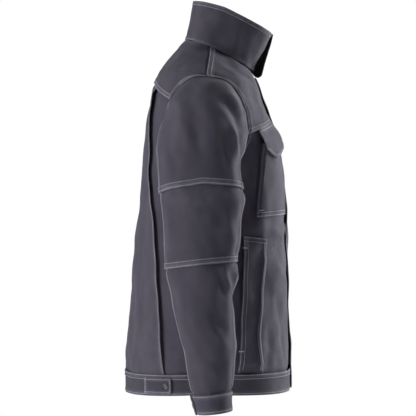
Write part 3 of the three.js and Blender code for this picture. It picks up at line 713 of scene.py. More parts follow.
class Finishes:
    """Every finish of the jacket, made once."""

    def __init__(self) -> None:
        """Makes the materials."""
        self.shell = Twill("shell_twill", (0.0335, 0.0300, 0.0430), (0.0800, 0.0735, 0.1010),
                           (0.205, 0.194, 0.242)).make()
        # The band twill is the shell twill about a fifth darker: painted shade for the waistband and the waist tabs,
        # which get less light low down.
        self.band = Twill("band_twill", (0.0270, 0.0242, 0.0345), (0.0650, 0.0595, 0.0820),
                          (0.180, 0.170, 0.212)).make()
        # The facing cloth is near black: on the collar tab's inner face and inside the collar, its darkness is painted
        # shade where those faces lie in shadow.
        self.lining = Twill("facing_cloth", (0.006, 0.006, 0.007), (0.016, 0.016, 0.018),
                            (0.04, 0.04, 0.043), 0.1).make()
        self.tape = Twill("zip_tape_weave", (0.005, 0.005, 0.006), (0.016, 0.016, 0.017), (0.03, 0.03, 0.03), 0.1,
                          0.0016).make()
        self.thread = Thread("topstitch_thread", (0.46, 0.45, 0.50)).make()
        self.snap = Metal("snap_metal", (0.026, 0.026, 0.027), (0.105, 0.103, 0.102)).make()
        self.teeth = Metal("zip_tooth_brass", (0.16, 0.13, 0.08), (0.42, 0.34, 0.20), 0.42).make()


# ---------------------------------------------------------------- pieces of cloth


@dataclass(frozen=True)
class Edge:
    """How one edge of a panel is finished: raised as the upper layer of a lapped seam, or tucked under one."""

    raised: float = 0.0
    tucked: float = 0.0
    width: float = 0.010
    worn: float = 1.0


LAP = Edge(raised=0.0015)
UNDER = Edge(tucked=0.0020, worn=0.0)
PLAIN = Edge()
NEAR = (0.0, 0.0003, 0.0008, 0.0016, 0.0030, 0.0055, 0.0085, 0.0115, 0.0150)


class Rim(Enum):
    """The four edges of a panel."""

    START = 0
    END = 1
    LOW = 2
    HIGH = 3


@dataclass
class Panel:
    """A panel of cloth on a surface, between four edges."""

    name: str
    surface: Surface
    region: Region
    # the edges at u = 0 and 1, then v = 0 and 1; (first, second, share) changes over at that share
    edges: tuple = (PLAIN, PLAIN, PLAIN, PLAIN)
    thick: float = 0.0016
    step: float = 0.0055
    lift: Callable[[Array, Array], Array] = lambda u, v: 0 * u
    folds: Sequence[Fold] = ()
    fold_share: float = 1.0
    weight: Optional[Callable[[Array, Array], Array]] = None
    mirrored: bool = False
    grids: dict[str, Array] = field(default_factory=dict, repr=False)

    def _shares(self, along_v: bool) -> Array:
        """Shares across the panel that lie evenly on the cloth, and close together near its edges."""
        coarse = np.linspace(0, 1, 161)
        others = np.array([0.15, 0.5, 0.85])
        grid = np.meshgrid(others, coarse, indexing="ij")
        u, v = grid if along_v else grid[::-1]
        points = self.surface.point(*self.region(u, v))
        gaps = np.linalg.norm(np.diff(points, axis=1), axis=-1).mean(0)
        run = np.concatenate([[0], np.cumsum(gaps)])
        total = run[-1]
        if total < 3 * NEAR[-1]:
            near = np.array([d for d in NEAR if d < total / 2.5])
            places = np.unique(np.concatenate([near, total - near, [total / 2]]))
        else:
            inner = np.linspace(NEAR[-1], total - NEAR[-1], max(2, round((total - 2 * NEAR[-1]) / self.step)) + 1)
            places = np.unique(np.concatenate([NEAR, inner, total - np.array(NEAR)]).round(7))
        return np.interp(places, run, coarse)

    def shape(self) -> dict[str, Array]:
        """Works out the panel's cloth.

        Returns:
            Grids of outer and inner points, metres along both ways, closeness to a seam, ridges and bend weights.
        """
        u, v = np.meshgrid(self._shares(False), self._shares(True), indexing="ij")
        a, b = self.region(u, v)
        base, outward = self.surface.point(a, b), self.surface.outward(a, b)
        steps = np.linalg.norm(np.diff(base, axis=0), axis=-1)
        run_u = np.concatenate([np.zeros((1, u.shape[1])), np.cumsum(steps, 0)])
        run_v = np.concatenate([np.zeros((u.shape[0], 1)),
                                np.cumsum(np.linalg.norm(np.diff(base, axis=1), axis=-1), 1)], 1)
        away = (run_u, run_u[-1:] - run_u, run_v, run_v[:, -1:] - run_v)
        mirror = TO_LEFT if self.mirrored else np.ones(3)
        folded = Cloth.lift(base * mirror, outward * mirror, self.folds) * self.fold_share
        height = self.lift(u, v) + folded
        seam = np.zeros(u.shape)
        for place, distance in enumerate(away):
            along = v if place < 2 else u
            given = self.edges[place]
            first, second, change = given if isinstance(given, tuple) else (given, given, 0.5)
            for edge, share in ((first, 1 - smooth(along, change - 0.01, change + 0.01)),
                                (second, smooth(along, change - 0.01, change + 0.01))):
                height += share * edge.raised * (1 - smooth(distance, edge.width, edge.width + 0.0045))
                height -= share * edge.tucked * (1 - smooth(distance, edge.width - 0.002, edge.width + 0.006))
                seam = np.maximum(seam, share * edge.worn * (1 - smooth(distance, 0.001, edge.width + 0.004)))
        radius = self.thick * 0.48
        nearest = np.minimum(np.minimum(away[0], away[1]), np.minimum(away[2], away[3]))
        drop = radius - np.sqrt(np.maximum(radius**2 - np.maximum(radius - nearest, 0) ** 2, 0))
        outer = base + outward * (height - drop)[..., None]
        inner = base + outward * (height - self.thick + drop)[..., None]
        # ridge: fold height, which the twill uses for paler fold crests, partly a painted highlight.
        grids = {"outer": outer, "inner": inner, "u": run_u, "v": run_v, "seam": seam,
                 "ridge": np.clip(folded / 0.004, 0, 1)}
        grids["weight"] = self.weight(a, b) if self.weight else np.zeros(u.shape)
        grids["share_u"], grids["share_v"] = u, v
        for key in ("outer", "inner"):
            grids[key] = grids[key] * mirror
        self.grids = grids
        return grids

    def spot(self, u: float, v: float) -> tuple[Array, Array]:
        """The outer point at a share across and along, and its outward direction."""
        grids = self.grids
        i = np.interp(u, grids["share_u"][:, 0], np.arange(grids["share_u"].shape[0]))
        j = np.interp(v, grids["share_v"][0], np.arange(grids["share_v"].shape[1]))
        i0, j0 = min(int(i), grids["u"].shape[0] - 2), min(int(j), grids["u"].shape[1] - 2)
        di, dj = i - i0, j - j0

        def read(key: str) -> Array:
            """One grid's value there."""
            grid = grids[key]
            return ((1 - di) * ((1 - dj) * grid[i0, j0] + dj * grid[i0, j0 + 1])
                    + di * ((1 - dj) * grid[i0 + 1, j0] + dj * grid[i0 + 1, j0 + 1]))

        return read("outer"), unit(read("outer") - read("inner"))

    def row(self, rim: "Rim", distance: float, first: float = 0.0, last: float = 1.0) -> tuple[Array, Array, Array]:
        """A line on the outer side, at one distance from an edge.

        Args:
            rim: the edge.
            distance: how far inside it the line runs, in metres.
            first: share of the edge at which the line starts.
            last: share at which it ends.

        Returns:
            Points, outward directions and bend weights.
        """
        turned = rim in (Rim.LOW, Rim.HIGH)
        grids = {key: (value.swapaxes(0, 1) if turned else value) for key, value in self.grids.items()}
        across = grids["v"] if turned else grids["u"]
        along = grids["share_u" if turned else "share_v"][0]
        columns = np.flatnonzero((along >= first - 1e-9) & (along <= last + 1e-9))
        outer, inner, weight = [], [], []
        for j in columns:
            run = across[:, j]
            at = distance if rim in (Rim.START, Rim.LOW) else run[-1] - distance
            outer.append([np.interp(at, run, grids["outer"][:, j, k]) for k in range(3)])
            inner.append([np.interp(at, run, grids["inner"][:, j, k]) for k in range(3)])
            weight.append(np.interp(at, run, grids["weight"][:, j]))
        outer, inner = np.array(outer), np.array(inner)
        return outer, unit(outer - inner), np.array(weight)

    def build(self, material: bpy.types.Material) -> bpy.types.Object:
        """Makes the panel as a closed piece of cloth.

        Args:
            material: its finish.

        Returns:
            The object, with its UV map in metres of cloth.
        """
        grids = self.shape()
        count_u, count_v = grids["u"].shape
        number = np.arange(count_u * count_v).reshape(count_u, count_v)
        points = np.concatenate([grids["outer"].reshape(-1, 3), grids["inner"].reshape(-1, 3)])
        quads = np.stack([number[:-1, :-1], number[1:, :-1], number[1:, 1:], number[:-1, 1:]], -1).reshape(-1, 4)
        far = len(points) // 2
        rim = np.concatenate([number[:-1, 0], number[-1, :-1], number[:0:-1, -1], number[0, :0:-1]])
        after = np.roll(rim, -1)
        walls = np.stack([after, rim, rim + far, after + far], -1)
        faces = np.concatenate([quads, quads[:, ::-1] + far, walls])
        piece = solid(self.name, points, faces, material)
        per_point = {key: np.tile(grids[key].reshape(-1), 2) for key in ("u", "v", "seam", "ridge", "weight")}
        write_cloth_data(piece, per_point)
        return piece


def linked(name: str, mesh: bpy.types.Mesh) -> bpy.types.Object:
    """An object of a mesh, in the scene."""
    made = bpy.data.objects.new(name, mesh)
    bpy.context.scene.collection.objects.link(made)
    return made


def solid(name: str, points: Array, faces: Array, material: bpy.types.Material) -> bpy.types.Object:
    """A closed mesh object, turned the right way out.

    Args:
        name: its name.
        points: its vertices.
        faces: vertex numbers of its faces, all with as many corners.
        material: its finish.

    Returns:
        The object, linked to the scene and shaded smooth.
    """
    corner = points[faces]
    first = corner[:, 0]
    volume = sum(np.sum(first * np.cross(corner[:, i], corner[:, i + 1])) for i in range(1, faces.shape[1] - 1))
    if volume < 0:
        faces = faces[:, ::-1]
    mesh = bpy.data.meshes.new(name)
    mesh.from_pydata(points.tolist(), [], faces.tolist())
    mesh.materials.append(material)
    mesh.shade_smooth()
    return linked(name, mesh)


def write_cloth_data(piece: bpy.types.Object, data: dict[str, Array]) -> None:
    """Stores a piece's UV map and its per-point numbers.

    Args:
        piece: the piece.
        data: u and v in metres, and any of seam, ridge and weight.
    """
    mesh = piece.data
    corners = np.empty(len(mesh.loops), dtype=np.int32)
    mesh.loops.foreach_get("vertex_index", corners)
    layer = mesh.uv_layers.new(name="cloth")
    layer.data.foreach_set("uv", np.stack([data["u"][corners], data["v"][corners]], -1).ravel())
    for key in ("seam", "ridge", "weight"):
        if key in data:
            stored = mesh.attributes.new(key, "FLOAT", "POINT")
            stored.data.foreach_set("value", np.asarray(data[key], dtype=np.float32))


def hang(piece: bpy.types.Object, body: str, slot: str, nodes: Sequence[str] = (),
         onto: Optional[tuple[str, tuple, tuple]] = None) -> None:
    """Parents a finished piece to its body or, given onto, bakes its transform in place; then hides the CAD parts it
    stands for.

    Args:
        piece: the piece.
        body: the body whose empty it is parented to, when onto is not given.
        slot: the record's material slot; not used.
        nodes: the CAD nodes that it stands for.
        onto: a body with the start and end of a bend; when given, the transform is baked and no bend is made.
    """
    if onto:
        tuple(onto[1])
        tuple(onto[2])
        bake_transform(piece)
        weights = piece.data.attributes.get("weight")
        if weights and onto[0].startswith(("sleeve", "storm")):
            values = np.empty(len(piece.data.vertices), dtype=np.float32)
            weights.data.foreach_get("value", values)
    else:
        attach(piece, body)
    if nodes:
        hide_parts(*nodes)
    log.info("%s: %d faces on %s", piece.name, len(piece.data.polygons), body)


# ---------------------------------------------------------------- where the panels lie

Rail = Callable[[Array], tuple[Array, Array]]
LINES: dict[str, "Panel"] = {}


def between(left: Rail, right: Rail) -> Region:
    """The region between two rails."""

    def region(u: Array, v: Array) -> tuple[Array, Array]:
        """Parameters at shares across and along."""
        (a0, b0), (a1, b1) = left(v), right(v)
        return a0 + (a1 - a0) * u, b0 + (b1 - b0) * u

    return region


def joined(first: Rail, second: Rail, join: float) -> Rail:
    """One rail after another, the first up to the share join."""

    def rail(v: Array) -> tuple[Array, Array]:
        """Parameters at a share along."""
        a0, b0 = first(np.minimum(v / join, 1))
        a1, b1 = second(np.maximum((v - join) / (1 - join), 0))
        return np.where(v < join, a0, a1), np.where(v < join, b0, b1)

    return rail


def front_edge(x: float, start: float, end: float) -> Rail:
    """A rail that keeps one distance from the centre front."""

    def rail(v: Array) -> tuple[Array, Array]:
        """Parameters at a share along."""
        level = start + (end - start) * np.asarray(v, float)
        return BODY.turn_at_x(-x, level), level

    return rail


def side_seam(start: float, end: float, offset: float = 0.0) -> Rail:
    """A rail down the side, or along the shoulder."""
    return lambda v: (SIDE_TURN + offset + 0 * v, start + (end - start) * v)


def armhole_edge(start: float, end: float, grow: float = 0.0) -> Rail:
    """A rail along the armhole."""
    return lambda v: armhole(start + (end - start) * v, grow)


def mirrored_rail(rail: Rail) -> Rail:
    """The same rail on the other side, for turns that run on past the centre back."""
    return lambda v: (360 - rail(v)[0], rail(v)[1])


def pull_share(angle: Array) -> Array:
    """How much of a raised sleeve's turn the body takes up at the armhole: only underneath."""
    return 0.30 * smooth(-np.cos(np.radians(angle)), -0.2, 1.0)


def body_pull(turn: Array, level: Array) -> Array:
    """How far the body's cloth follows a raised sleeve."""
    ahead, up = (SIDE_TURN - turn) / ARMHOLE_TURN, (level - ARMHOLE_LEVEL) / ARMHOLE_RISE
    return pull_share(np.degrees(np.arctan2(ahead, up))) * (1 - smooth(np.hypot(ahead, up), 1.0, 1.8))


def sleeve_pull(angle: Array, station: Array) -> Array:
    """How far the sleeve's cloth follows its own turn: all of it, from the upper arm down."""
    start = pull_share(angle)
    return start + (1 - start) * smooth(station, 0.0, 3.5)


Bend = tuple[str, tuple[float, float, float], tuple[float, float, float]]


def armhole_bend(side: Side) -> Bend:
    """The sleeve and the two points of a bend of the body's cloth onto it; no bend is made from it."""
    return f"sleeve_{side.word}", (side.value * 0.2, 0, -0.25), (side.value * 0.3, 0, -0.25)


def shoulder_bend(side: Side) -> Bend:
    """The sleeve's body and the two points of a bend of the upper arm's cloth onto it; no bend is made from it."""
    return f"sleeve_{side.word}", (0, 0, -0.1), (0, 0, -0.3)


def elbow_bend(side: Side) -> Bend:
    """The forearm and two points, above and below the elbow, of a bend of the sleeve's cloth onto it; no bend is made
    from it.
    """
    return f"forearm_{side.word}", (side.value * 0.3, -0.03, -0.335), (side.value * 0.3, -0.03, -0.525)


YOKE_FRONT_CENTRE, YOKE_FRONT_ARMHOLE = 5.44, 4.86  # the yoke seams' levels
YOKE_BACK_CENTRE, YOKE_BACK_ARMHOLE = 6.75, 5.9
FRONT_GAP = 0.006  # from the centre front to each front's edge
SEAM_RUN = 0.12  # levels that an under layer runs on beneath a seam above it
LOW_END = BAND - 0.22  # the level at which the panels end, under the waistband
BAND_UNDER = Edge(tucked=0.0034, worn=0.0, width=0.012)


@dataclass
class Maker:
    """Builds the panels of one sub-assembly and hands them over."""

    finishes: Finishes

    def panel(self, panel: Panel, body: str, slot: str, nodes: Sequence[str] = (),
              onto: Optional[tuple[str, tuple, tuple]] = None,
              material: Optional[bpy.types.Material] = None) -> bpy.types.Object:
        """Builds a panel, remembers it for its stitches, and hands it over.

        Args:
            panel: the panel.
            body: the body it rides on.
            slot: the record's material slot; not used.
            nodes: the CAD nodes it stands for.
            onto: another body and a bend's ends, handed to hang; no bend is made.
            material: its finish, the shell cloth if left out.

        Returns:
            The object.
        """
        LINES[panel.name] = panel
        piece = panel.build(material or self.finishes.shell)
        hang(piece, body, slot, nodes, onto)
        return piece

    def pair(self, panel: Panel, body: str, slot: str, node: str, onto: Optional[Callable[[Side], Bend]] = None,
             material: Optional[bpy.types.Material] = None) -> None:
        """The same panel on both sides of the jacket; {side} in the body's name stands for the side's word."""
        for side in Side:
            made = replace(panel, name=f"{panel.name}_{side.word}", mirrored=side is Side.LEFT)
            self.panel(made, body.format(side=side.word), slot, (f"{node}_{side.word}",), onto(side) if onto else None,
                       material)


def declare_cloth(panel: "Panel") -> None:
    """Works out cross products of a panel's outer cells, and keeps nothing.

    Args:
        panel: its panel.
    """
    grids = panel.grids
    outer = grids["outer"]
    cells = np.cross(outer[1:, :-1] - outer[:-1, :-1], outer[:-1, 1:] - outer[:-1, :-1])


@dataclass
class Trunk(Maker):
    """The body of the jacket: yokes, fronts, pleated back and waistband."""

    fold_turns: tuple[float, ...] = (113, 117.5, 126.5, 139.5, 147, 150, 151)  # the pleat's fold, from hem to yoke
    pleat_turn: float = 7.0  # how far the side back runs in under the pleat
    stand: float = 0.006  # how far the centre back stands off at its folds
    band_thick: float = 0.003
    band_fold_share: float = 0.35
    band_lap_turn: float = 2.0

    def build(self) -> None:
        """Builds every panel of the body."""
        seam_angle = armhole_angle(YOKE_FRONT_ARMHOLE)
        under_angle = armhole_angle(YOKE_FRONT_ARMHOLE + SEAM_RUN)
        front_side = joined(side_seam(LOW_END, UNDERARM), armhole_edge(180, under_angle), 0.6)
        front_centre = joined(front_edge(FRONT_GAP, LOW_END, UNDERARM + 0.1),
                              front_edge(FRONT_GAP, UNDERARM + 0.1, YOKE_FRONT_CENTRE + SEAM_RUN), 0.6)
        front = Panel("front", BODY, between(front_centre, front_side), (PLAIN, LAP, BAND_UNDER, UNDER),
                      folds=Cloth.body_folds, weight=body_pull)
        self.pair(front, "torso", "shell", "front_panel", armhole_bend)

        yoke_side = joined(armhole_edge(seam_angle, 0), side_seam(SHOULDER, NECK), 0.6)
        yoke_centre = joined(front_edge(FRONT_GAP, YOKE_FRONT_CENTRE, SHOULDER),
                             front_edge(FRONT_GAP, SHOULDER, NECK), 0.6)
        yoke = Panel("yoke_front", BODY, between(yoke_centre, yoke_side), (PLAIN, LAP, LAP, PLAIN),
                     folds=Cloth.body_folds)
        self.pair(yoke, "torso", "shell", "front_yoke")
        self._back()
        self._waistband()

    def _back(self) -> None:
        """Builds the back yoke, the centre back and the side backs under its pleats."""
        top_angle = 360 - armhole_angle(YOKE_BACK_ARMHOLE)
        rise = YOKE_BACK_CENTRE - YOKE_BACK_ARMHOLE
        seam_turn = float(armhole(top_angle)[0])

        def seam_level(turn: Array) -> Array:
            """The back yoke seam's level at a turn."""
            share = np.clip((turn - seam_turn) / (360 - 2 * seam_turn), 0, 1)
            return YOKE_BACK_ARMHOLE + rise * np.sin(np.pi * share) ** 1.5

        right = joined(armhole_edge(top_angle, 360), side_seam(SHOULDER, NECK, -6.0), 0.55)
        left = mirrored_rail(right)

        def yoke_region(u: Array, v: Array) -> tuple[Array, Array]:
            """The back yoke's turn and level."""
            turn, level = between(right, left)(u, v)
            return turn, level + rise * np.sin(np.pi * np.clip(u, 0, 1)) ** 1.5 * (1 - v)

        side_edge = (LAP, UNDER, 0.55)
        self.panel(Panel("yoke_back", BODY, yoke_region, (side_edge, side_edge, LAP, PLAIN), folds=Cloth.body_folds),
                   "torso", "shell", ("back_yoke",))

        fold_levels = (1, 2, 2.6, 3.3, 4.2, 5.4, 6.35)
        fold_line = np.column_stack([self.fold_turns, fold_levels, np.zeros(len(fold_levels))])

        def fold(offset: float) -> Rail:
            """The pleat's fold, or a line beside it."""

            def rail(v: Array) -> tuple[Array, Array]:
                """Parameters at a share along."""
                turn = spline(fold_line, v)[..., 0] + offset
                return turn, LOW_END + (seam_level(turn) + SEAM_RUN - LOW_END) * v

            return rail

        def back_region(u: Array, v: Array) -> tuple[Array, Array]:
            """The centre back's turn and level."""
            start = fold(0)(v)[0]
            turn = start + (360 - 2 * start) * u
            return turn, LOW_END + (seam_level(turn) + SEAM_RUN - LOW_END) * v

        def stand_off(u: Array, v: Array) -> Array:
            """How far the centre back stands off at its folds."""
            return self.stand * np.abs(2 * u - 1) ** 3 * smooth(v, 0.03, 0.14) * (1 - 0.5 * smooth(v, 0.93, 1))

        soft = Edge(raised=0.0006, width=0.005)
        panel = Panel("centre_back", BODY, back_region, (soft, soft, BAND_UNDER, UNDER), lift=stand_off,
                      folds=Cloth.body_folds)
        piece = self.panel(panel, "torso", "shell", ("back_panel",))
        declare_cloth(panel)

        start = joined(side_seam(LOW_END, UNDERARM, -3.0), armhole_edge(180, top_angle + 4.0), 0.6)
        underlay = fold(self.pleat_turn)

        def side_region(u: Array, v: Array) -> tuple[Array, Array]:
            """The side back's turn and level."""
            turn, level = between(start, underlay)(u, v)
            ends = start(np.ones(1))[1][0], underlay(np.ones(1))[1][0]
            return turn, level + (seam_level(turn) + SEAM_RUN - ends[0] - (ends[1] - ends[0]) * u) * v**3

        def under_fold(u: Array, v: Array) -> Array:
            """How far the side back lies in: under the pleat, and up against the centre back at the pleat's end."""
            share = self.pleat_turn / (360 - 2 * fold(0)(v)[0])
            end = smooth(u, 0.86, 0.98)
            return -0.0026 * smooth(u, 0.3, 0.72) * (1 - end) + end * (stand_off(share, v) - 0.0020)

        side_back = Panel("side_back", BODY, side_region, ((UNDER, LAP, 0.6), PLAIN, BAND_UNDER, UNDER),
                          lift=under_fold, folds=Cloth.body_folds, weight=body_pull)
        self.pair(side_back, "torso", "shell", "side_back", armhole_bend)

    def _waistband(self) -> None:
        """Builds the waistband in its three lengths."""
        top = Edge(raised=0.0010, width=0.008)
        hem = Edge(raised=0.0004, width=0.008)

        def strip(start: Callable[[Array], Array], end: Callable[[Array], Array]) -> Region:
            """A length of band between two turns."""
            return lambda u, v: (start(v) + (end(v) - start(v)) * u, v * BAND)

        front = strip(lambda v: BODY.turn_at_x(-FRONT_GAP, v), lambda v: SIDE_TURN + 0 * v)
        common = {"thick": self.band_thick, "folds": Cloth.body_folds, "fold_share": self.band_fold_share}
        # The waistband's darker band twill is painted shade.
        self.pair(Panel("band_front", BODY, front, (PLAIN, LAP, hem, top), **common), "torso", "shell",
                  "waistband_front", material=self.finishes.band)
        run = self.band_lap_turn
        back = strip(lambda v: SIDE_TURN - run + 0 * v, lambda v: 360 + run - SIDE_TURN + 0 * v)
        self.panel(Panel("band_back", BODY, back, (UNDER, UNDER, hem, top), **common), "torso", "shell",
                   ("waistband_back",), material=self.finishes.band)


@dataclass
class Sleeves(Maker):
    """Both sleeves, each in an upper, an elbow and a forearm length, with a snap cuff."""

    elbow_top: float = 4.0  # the seams' stations
    elbow_drop: float = 0.25  # how far the upper elbow seam drops on the sleeve's outer side
    elbow_bottom: float = 6.0
    cuff: float = 9.0
    end: float = 9.87
    step: float = 0.0045
    cuff_sweep: float = 392.0  # degrees round the wrist, the lap counted twice
    cuff_start: float = 250.0
    cuff_lap: float = 40.0
    cuff_rise: float = 0.0028  # how far the lap lies over the cuff's other end

    def build(self) -> None:
        """Builds both sleeves."""
        arch = lambda angle: self.elbow_top + self.elbow_drop * np.cos(np.radians(angle))
        flat = lambda station: (lambda angle: station + 0 * angle)
        lengths = (
            ("upper", flat(-0.06), arch, UNDER, LAP),
            ("elbow", lambda angle: arch(angle) - 0.1, flat(self.elbow_bottom), UNDER, LAP),
            ("forearm", flat(self.elbow_bottom - 0.1), flat(self.cuff + 0.14), UNDER, BAND_UNDER),
        )
        for name, start, finish, low_edge, high_edge in lengths:
            upper = name == "upper"
            for part, first, last, edge in (("sleeve", -90.0, 90.0, LAP), ("undersleeve", 84.0, 276.0, UNDER)):
                panel = Panel(f"{part}_{name}", TUBE, self._section(first, last, start, finish),
                              (edge, edge, low_edge, high_edge), folds=Cloth.sleeve_folds,
                              weight=sleeve_pull if upper else None, step=self.step)
                self.pair(panel, "torso" if upper else "sleeve_{side}", "shell", f"{part}_{name}",
                          shoulder_bend if upper else elbow_bend)
        self._cuffs()

    @staticmethod
    def _section(first: float, last: float, start: Callable[[Array], Array],
                 finish: Callable[[Array], Array]) -> Region:
        """A length of sleeve between two angles and two seams."""

        def region(u: Array, v: Array) -> tuple[Array, Array]:
            """The sleeve's angle and station."""
            angle = first + (last - first) * u
            return angle, start(angle) + (finish(angle) - start(angle)) * v

        return region

    def _cuffs(self) -> None:
        """Builds the cuffs, lapped at the back of the wrist."""
        lap_from = 1 - self.cuff_lap / self.cuff_sweep

        def region(u: Array, v: Array) -> tuple[Array, Array]:
            """The cuff's angle and station."""
            return self.cuff_start + self.cuff_sweep * u, self.cuff + (self.end - self.cuff) * v

        rise = lambda u, v: self.cuff_rise * smooth(u, lap_from - 0.06, lap_from) - 0.0010
        rim = Edge(raised=0.0004, width=0.008)
        edges = (PLAIN, Edge(raised=0.0004, width=0.006), Edge(raised=0.0009, width=0.008), rim)
        panel = Panel("cuff", TUBE, region, edges, thick=0.003, lift=rise, folds=Cloth.sleeve_folds, fold_share=0.3)
        self.pair(panel, "forearm_{side}", "shell", "cuff")


class Binding(Surface):
    """The neck seam seen from inside: the yokes' last part below 0, and the collar's first part above it."""

    def point(self, a: Array, b: Array) -> Array:
        """Points at a turn and a level."""
        a, b = np.broadcast_arrays(np.asarray(a, float), np.asarray(b, float))
        on_yoke, on_collar = BODY.point(a, NECK + np.minimum(b, 0)), STAND.point(a, np.maximum(b, 0))
        return np.where((b < 0)[..., None], on_yoke, on_collar)

    def inside(self, a: Array, b: Array) -> Array:
        """A point in the middle of the neck."""
        return STAND.inside(a, np.maximum(b, 0)) + np.array([0.0, 0.0, -0.02])


class Collar(Maker):
    """The stand collar with its facing, and the closing tab at its left end."""

    def build(self) -> None:
        """Builds the collar."""
        end = lambda level: STAND.turn_at_x(-0.005, level)

        def ring(inset: float) -> Region:
            """The collar's turn and level, a little smaller for the facing."""

            def region(u: Array, v: Array) -> tuple[Array, Array]:
                """The collar's turn and level."""
                level = inset + (2 - 2 * inset) * v
                return end(level) + (360 - 2 * end(level)) * u, level

            return region

        crown = Edge(raised=0.0009, width=0.006)
        root = Edge(raised=0.0012, width=0.004)
        panel = Panel("stand_collar", STAND, ring(0), (crown, crown, root, crown), thick=0.0022,
                      folds=self.dents(), step=0.005)
        self.panel(panel, "torso", "shell", ("collar",))
        facing = Panel("collar_lining", STAND, ring(0.03), thick=0.0014, lift=lambda u, v: -0.0026 + 0 * u,
                       folds=self.dents(), step=0.007)
        self.panel(facing, "torso", "facing", ("collar_facing",), material=self.finishes.lining)
        start = float(end(np.array(0.0)))
        binding = Panel("neck_binding", Binding(), lambda u, v: (start + (360 - 2 * start) * u, -0.36 + 0.60 * v),
                        thick=0.0010, lift=lambda u, v: -0.0046 + 0 * u, step=0.004)
        self.panel(binding, "torso", "facing", material=self.finishes.lining)
        self._tab()

    @staticmethod
    def dents() -> tuple[Fold, ...]:
        """The collar's own soft dents."""
        return (
            *folds(Facing.SIDE,
                (((-60, 50), (-66, 20), (-58, -8)), 14, -2.6),
                (((-20, 66), (-26, 36), (-20, 10)), 14, 2),
                (((-100, 20), (-88, -8), (-92, -34)), 12, 2.2),
            ),
            *folds(Facing.FRONT,
                (((-46, -30), (-52, 0), (-48, 26)), 12, -1.8),
            ),
            *folds(Facing.BACK,
                (((-46, 10), (-38, 40), (-44, 70)), 14, -2.2),
        ),
        )

    def _tab(self) -> None:
        """Builds the tab that stands open at the collar's left end: near-black facing inside, its darkness painted
        shade, shell cloth outside.
        """
        hinge = np.array([[0.0015, -0.1245, -0.063], [0.0015, -0.164, 0.014]])
        free = np.array([[-0.013, -0.1430, -0.067], [-0.006, -0.1655, 0.015]])

        class Leaf(Surface):
            """The tab's middle surface."""

            step_a = 0.01

            def point(self, a: Array, b: Array) -> Array:
                """Points at shares across and up."""
                a, b = np.broadcast_arrays(np.asarray(a, float), np.asarray(b, float))
                sewn = hinge[0] + (hinge[1] - hinge[0]) * b[..., None]
                loose = free[0] + (free[1] - free[0]) * b[..., None]
                points = sewn + (loose - sewn) * a[..., None]
                points[..., 2] -= 0.007 * np.sin(np.pi * np.clip(a, 0, 1)) * (1 - b)
                return points

            def inside(self, a: Array, b: Array) -> Array:
                """A point on the wearer's left of the tab."""
                return self.point(a, b) + np.array([0.1, 0.0, 0.0])

        leaf = Leaf()
        region = lambda u, v: (1.34 * u - 0.34, v)
        rim = Edge(raised=0.0002, width=0.004)
        inner = Panel("tab_lining", leaf, region, (rim, rim, rim, rim), thick=0.0011, step=0.004,
                      lift=lambda u, v: 0.0010 + 0.0006 * np.sin(7 * v))
        outer = Panel("tab_shell", leaf, region, (rim, rim, rim, rim), thick=0.0011, step=0.004,
                      lift=lambda u, v: -0.0002 + 0.0006 * np.sin(7 * v))
        self.panel(inner, "collar_tab", "facing", ("collar_tab",), material=self.finishes.lining)
        self.panel(outer, "collar_tab", "shell")


def rested(turn: Array, level: Array, lift: float) -> Array:
    """Points of the body's cloth as it hangs, lifted a little."""
    point, out = BODY.point(turn, level), BODY.outward(turn, level)
    return point + out * (Cloth.lift(point, out, Cloth.body_folds) + lift)[..., None]


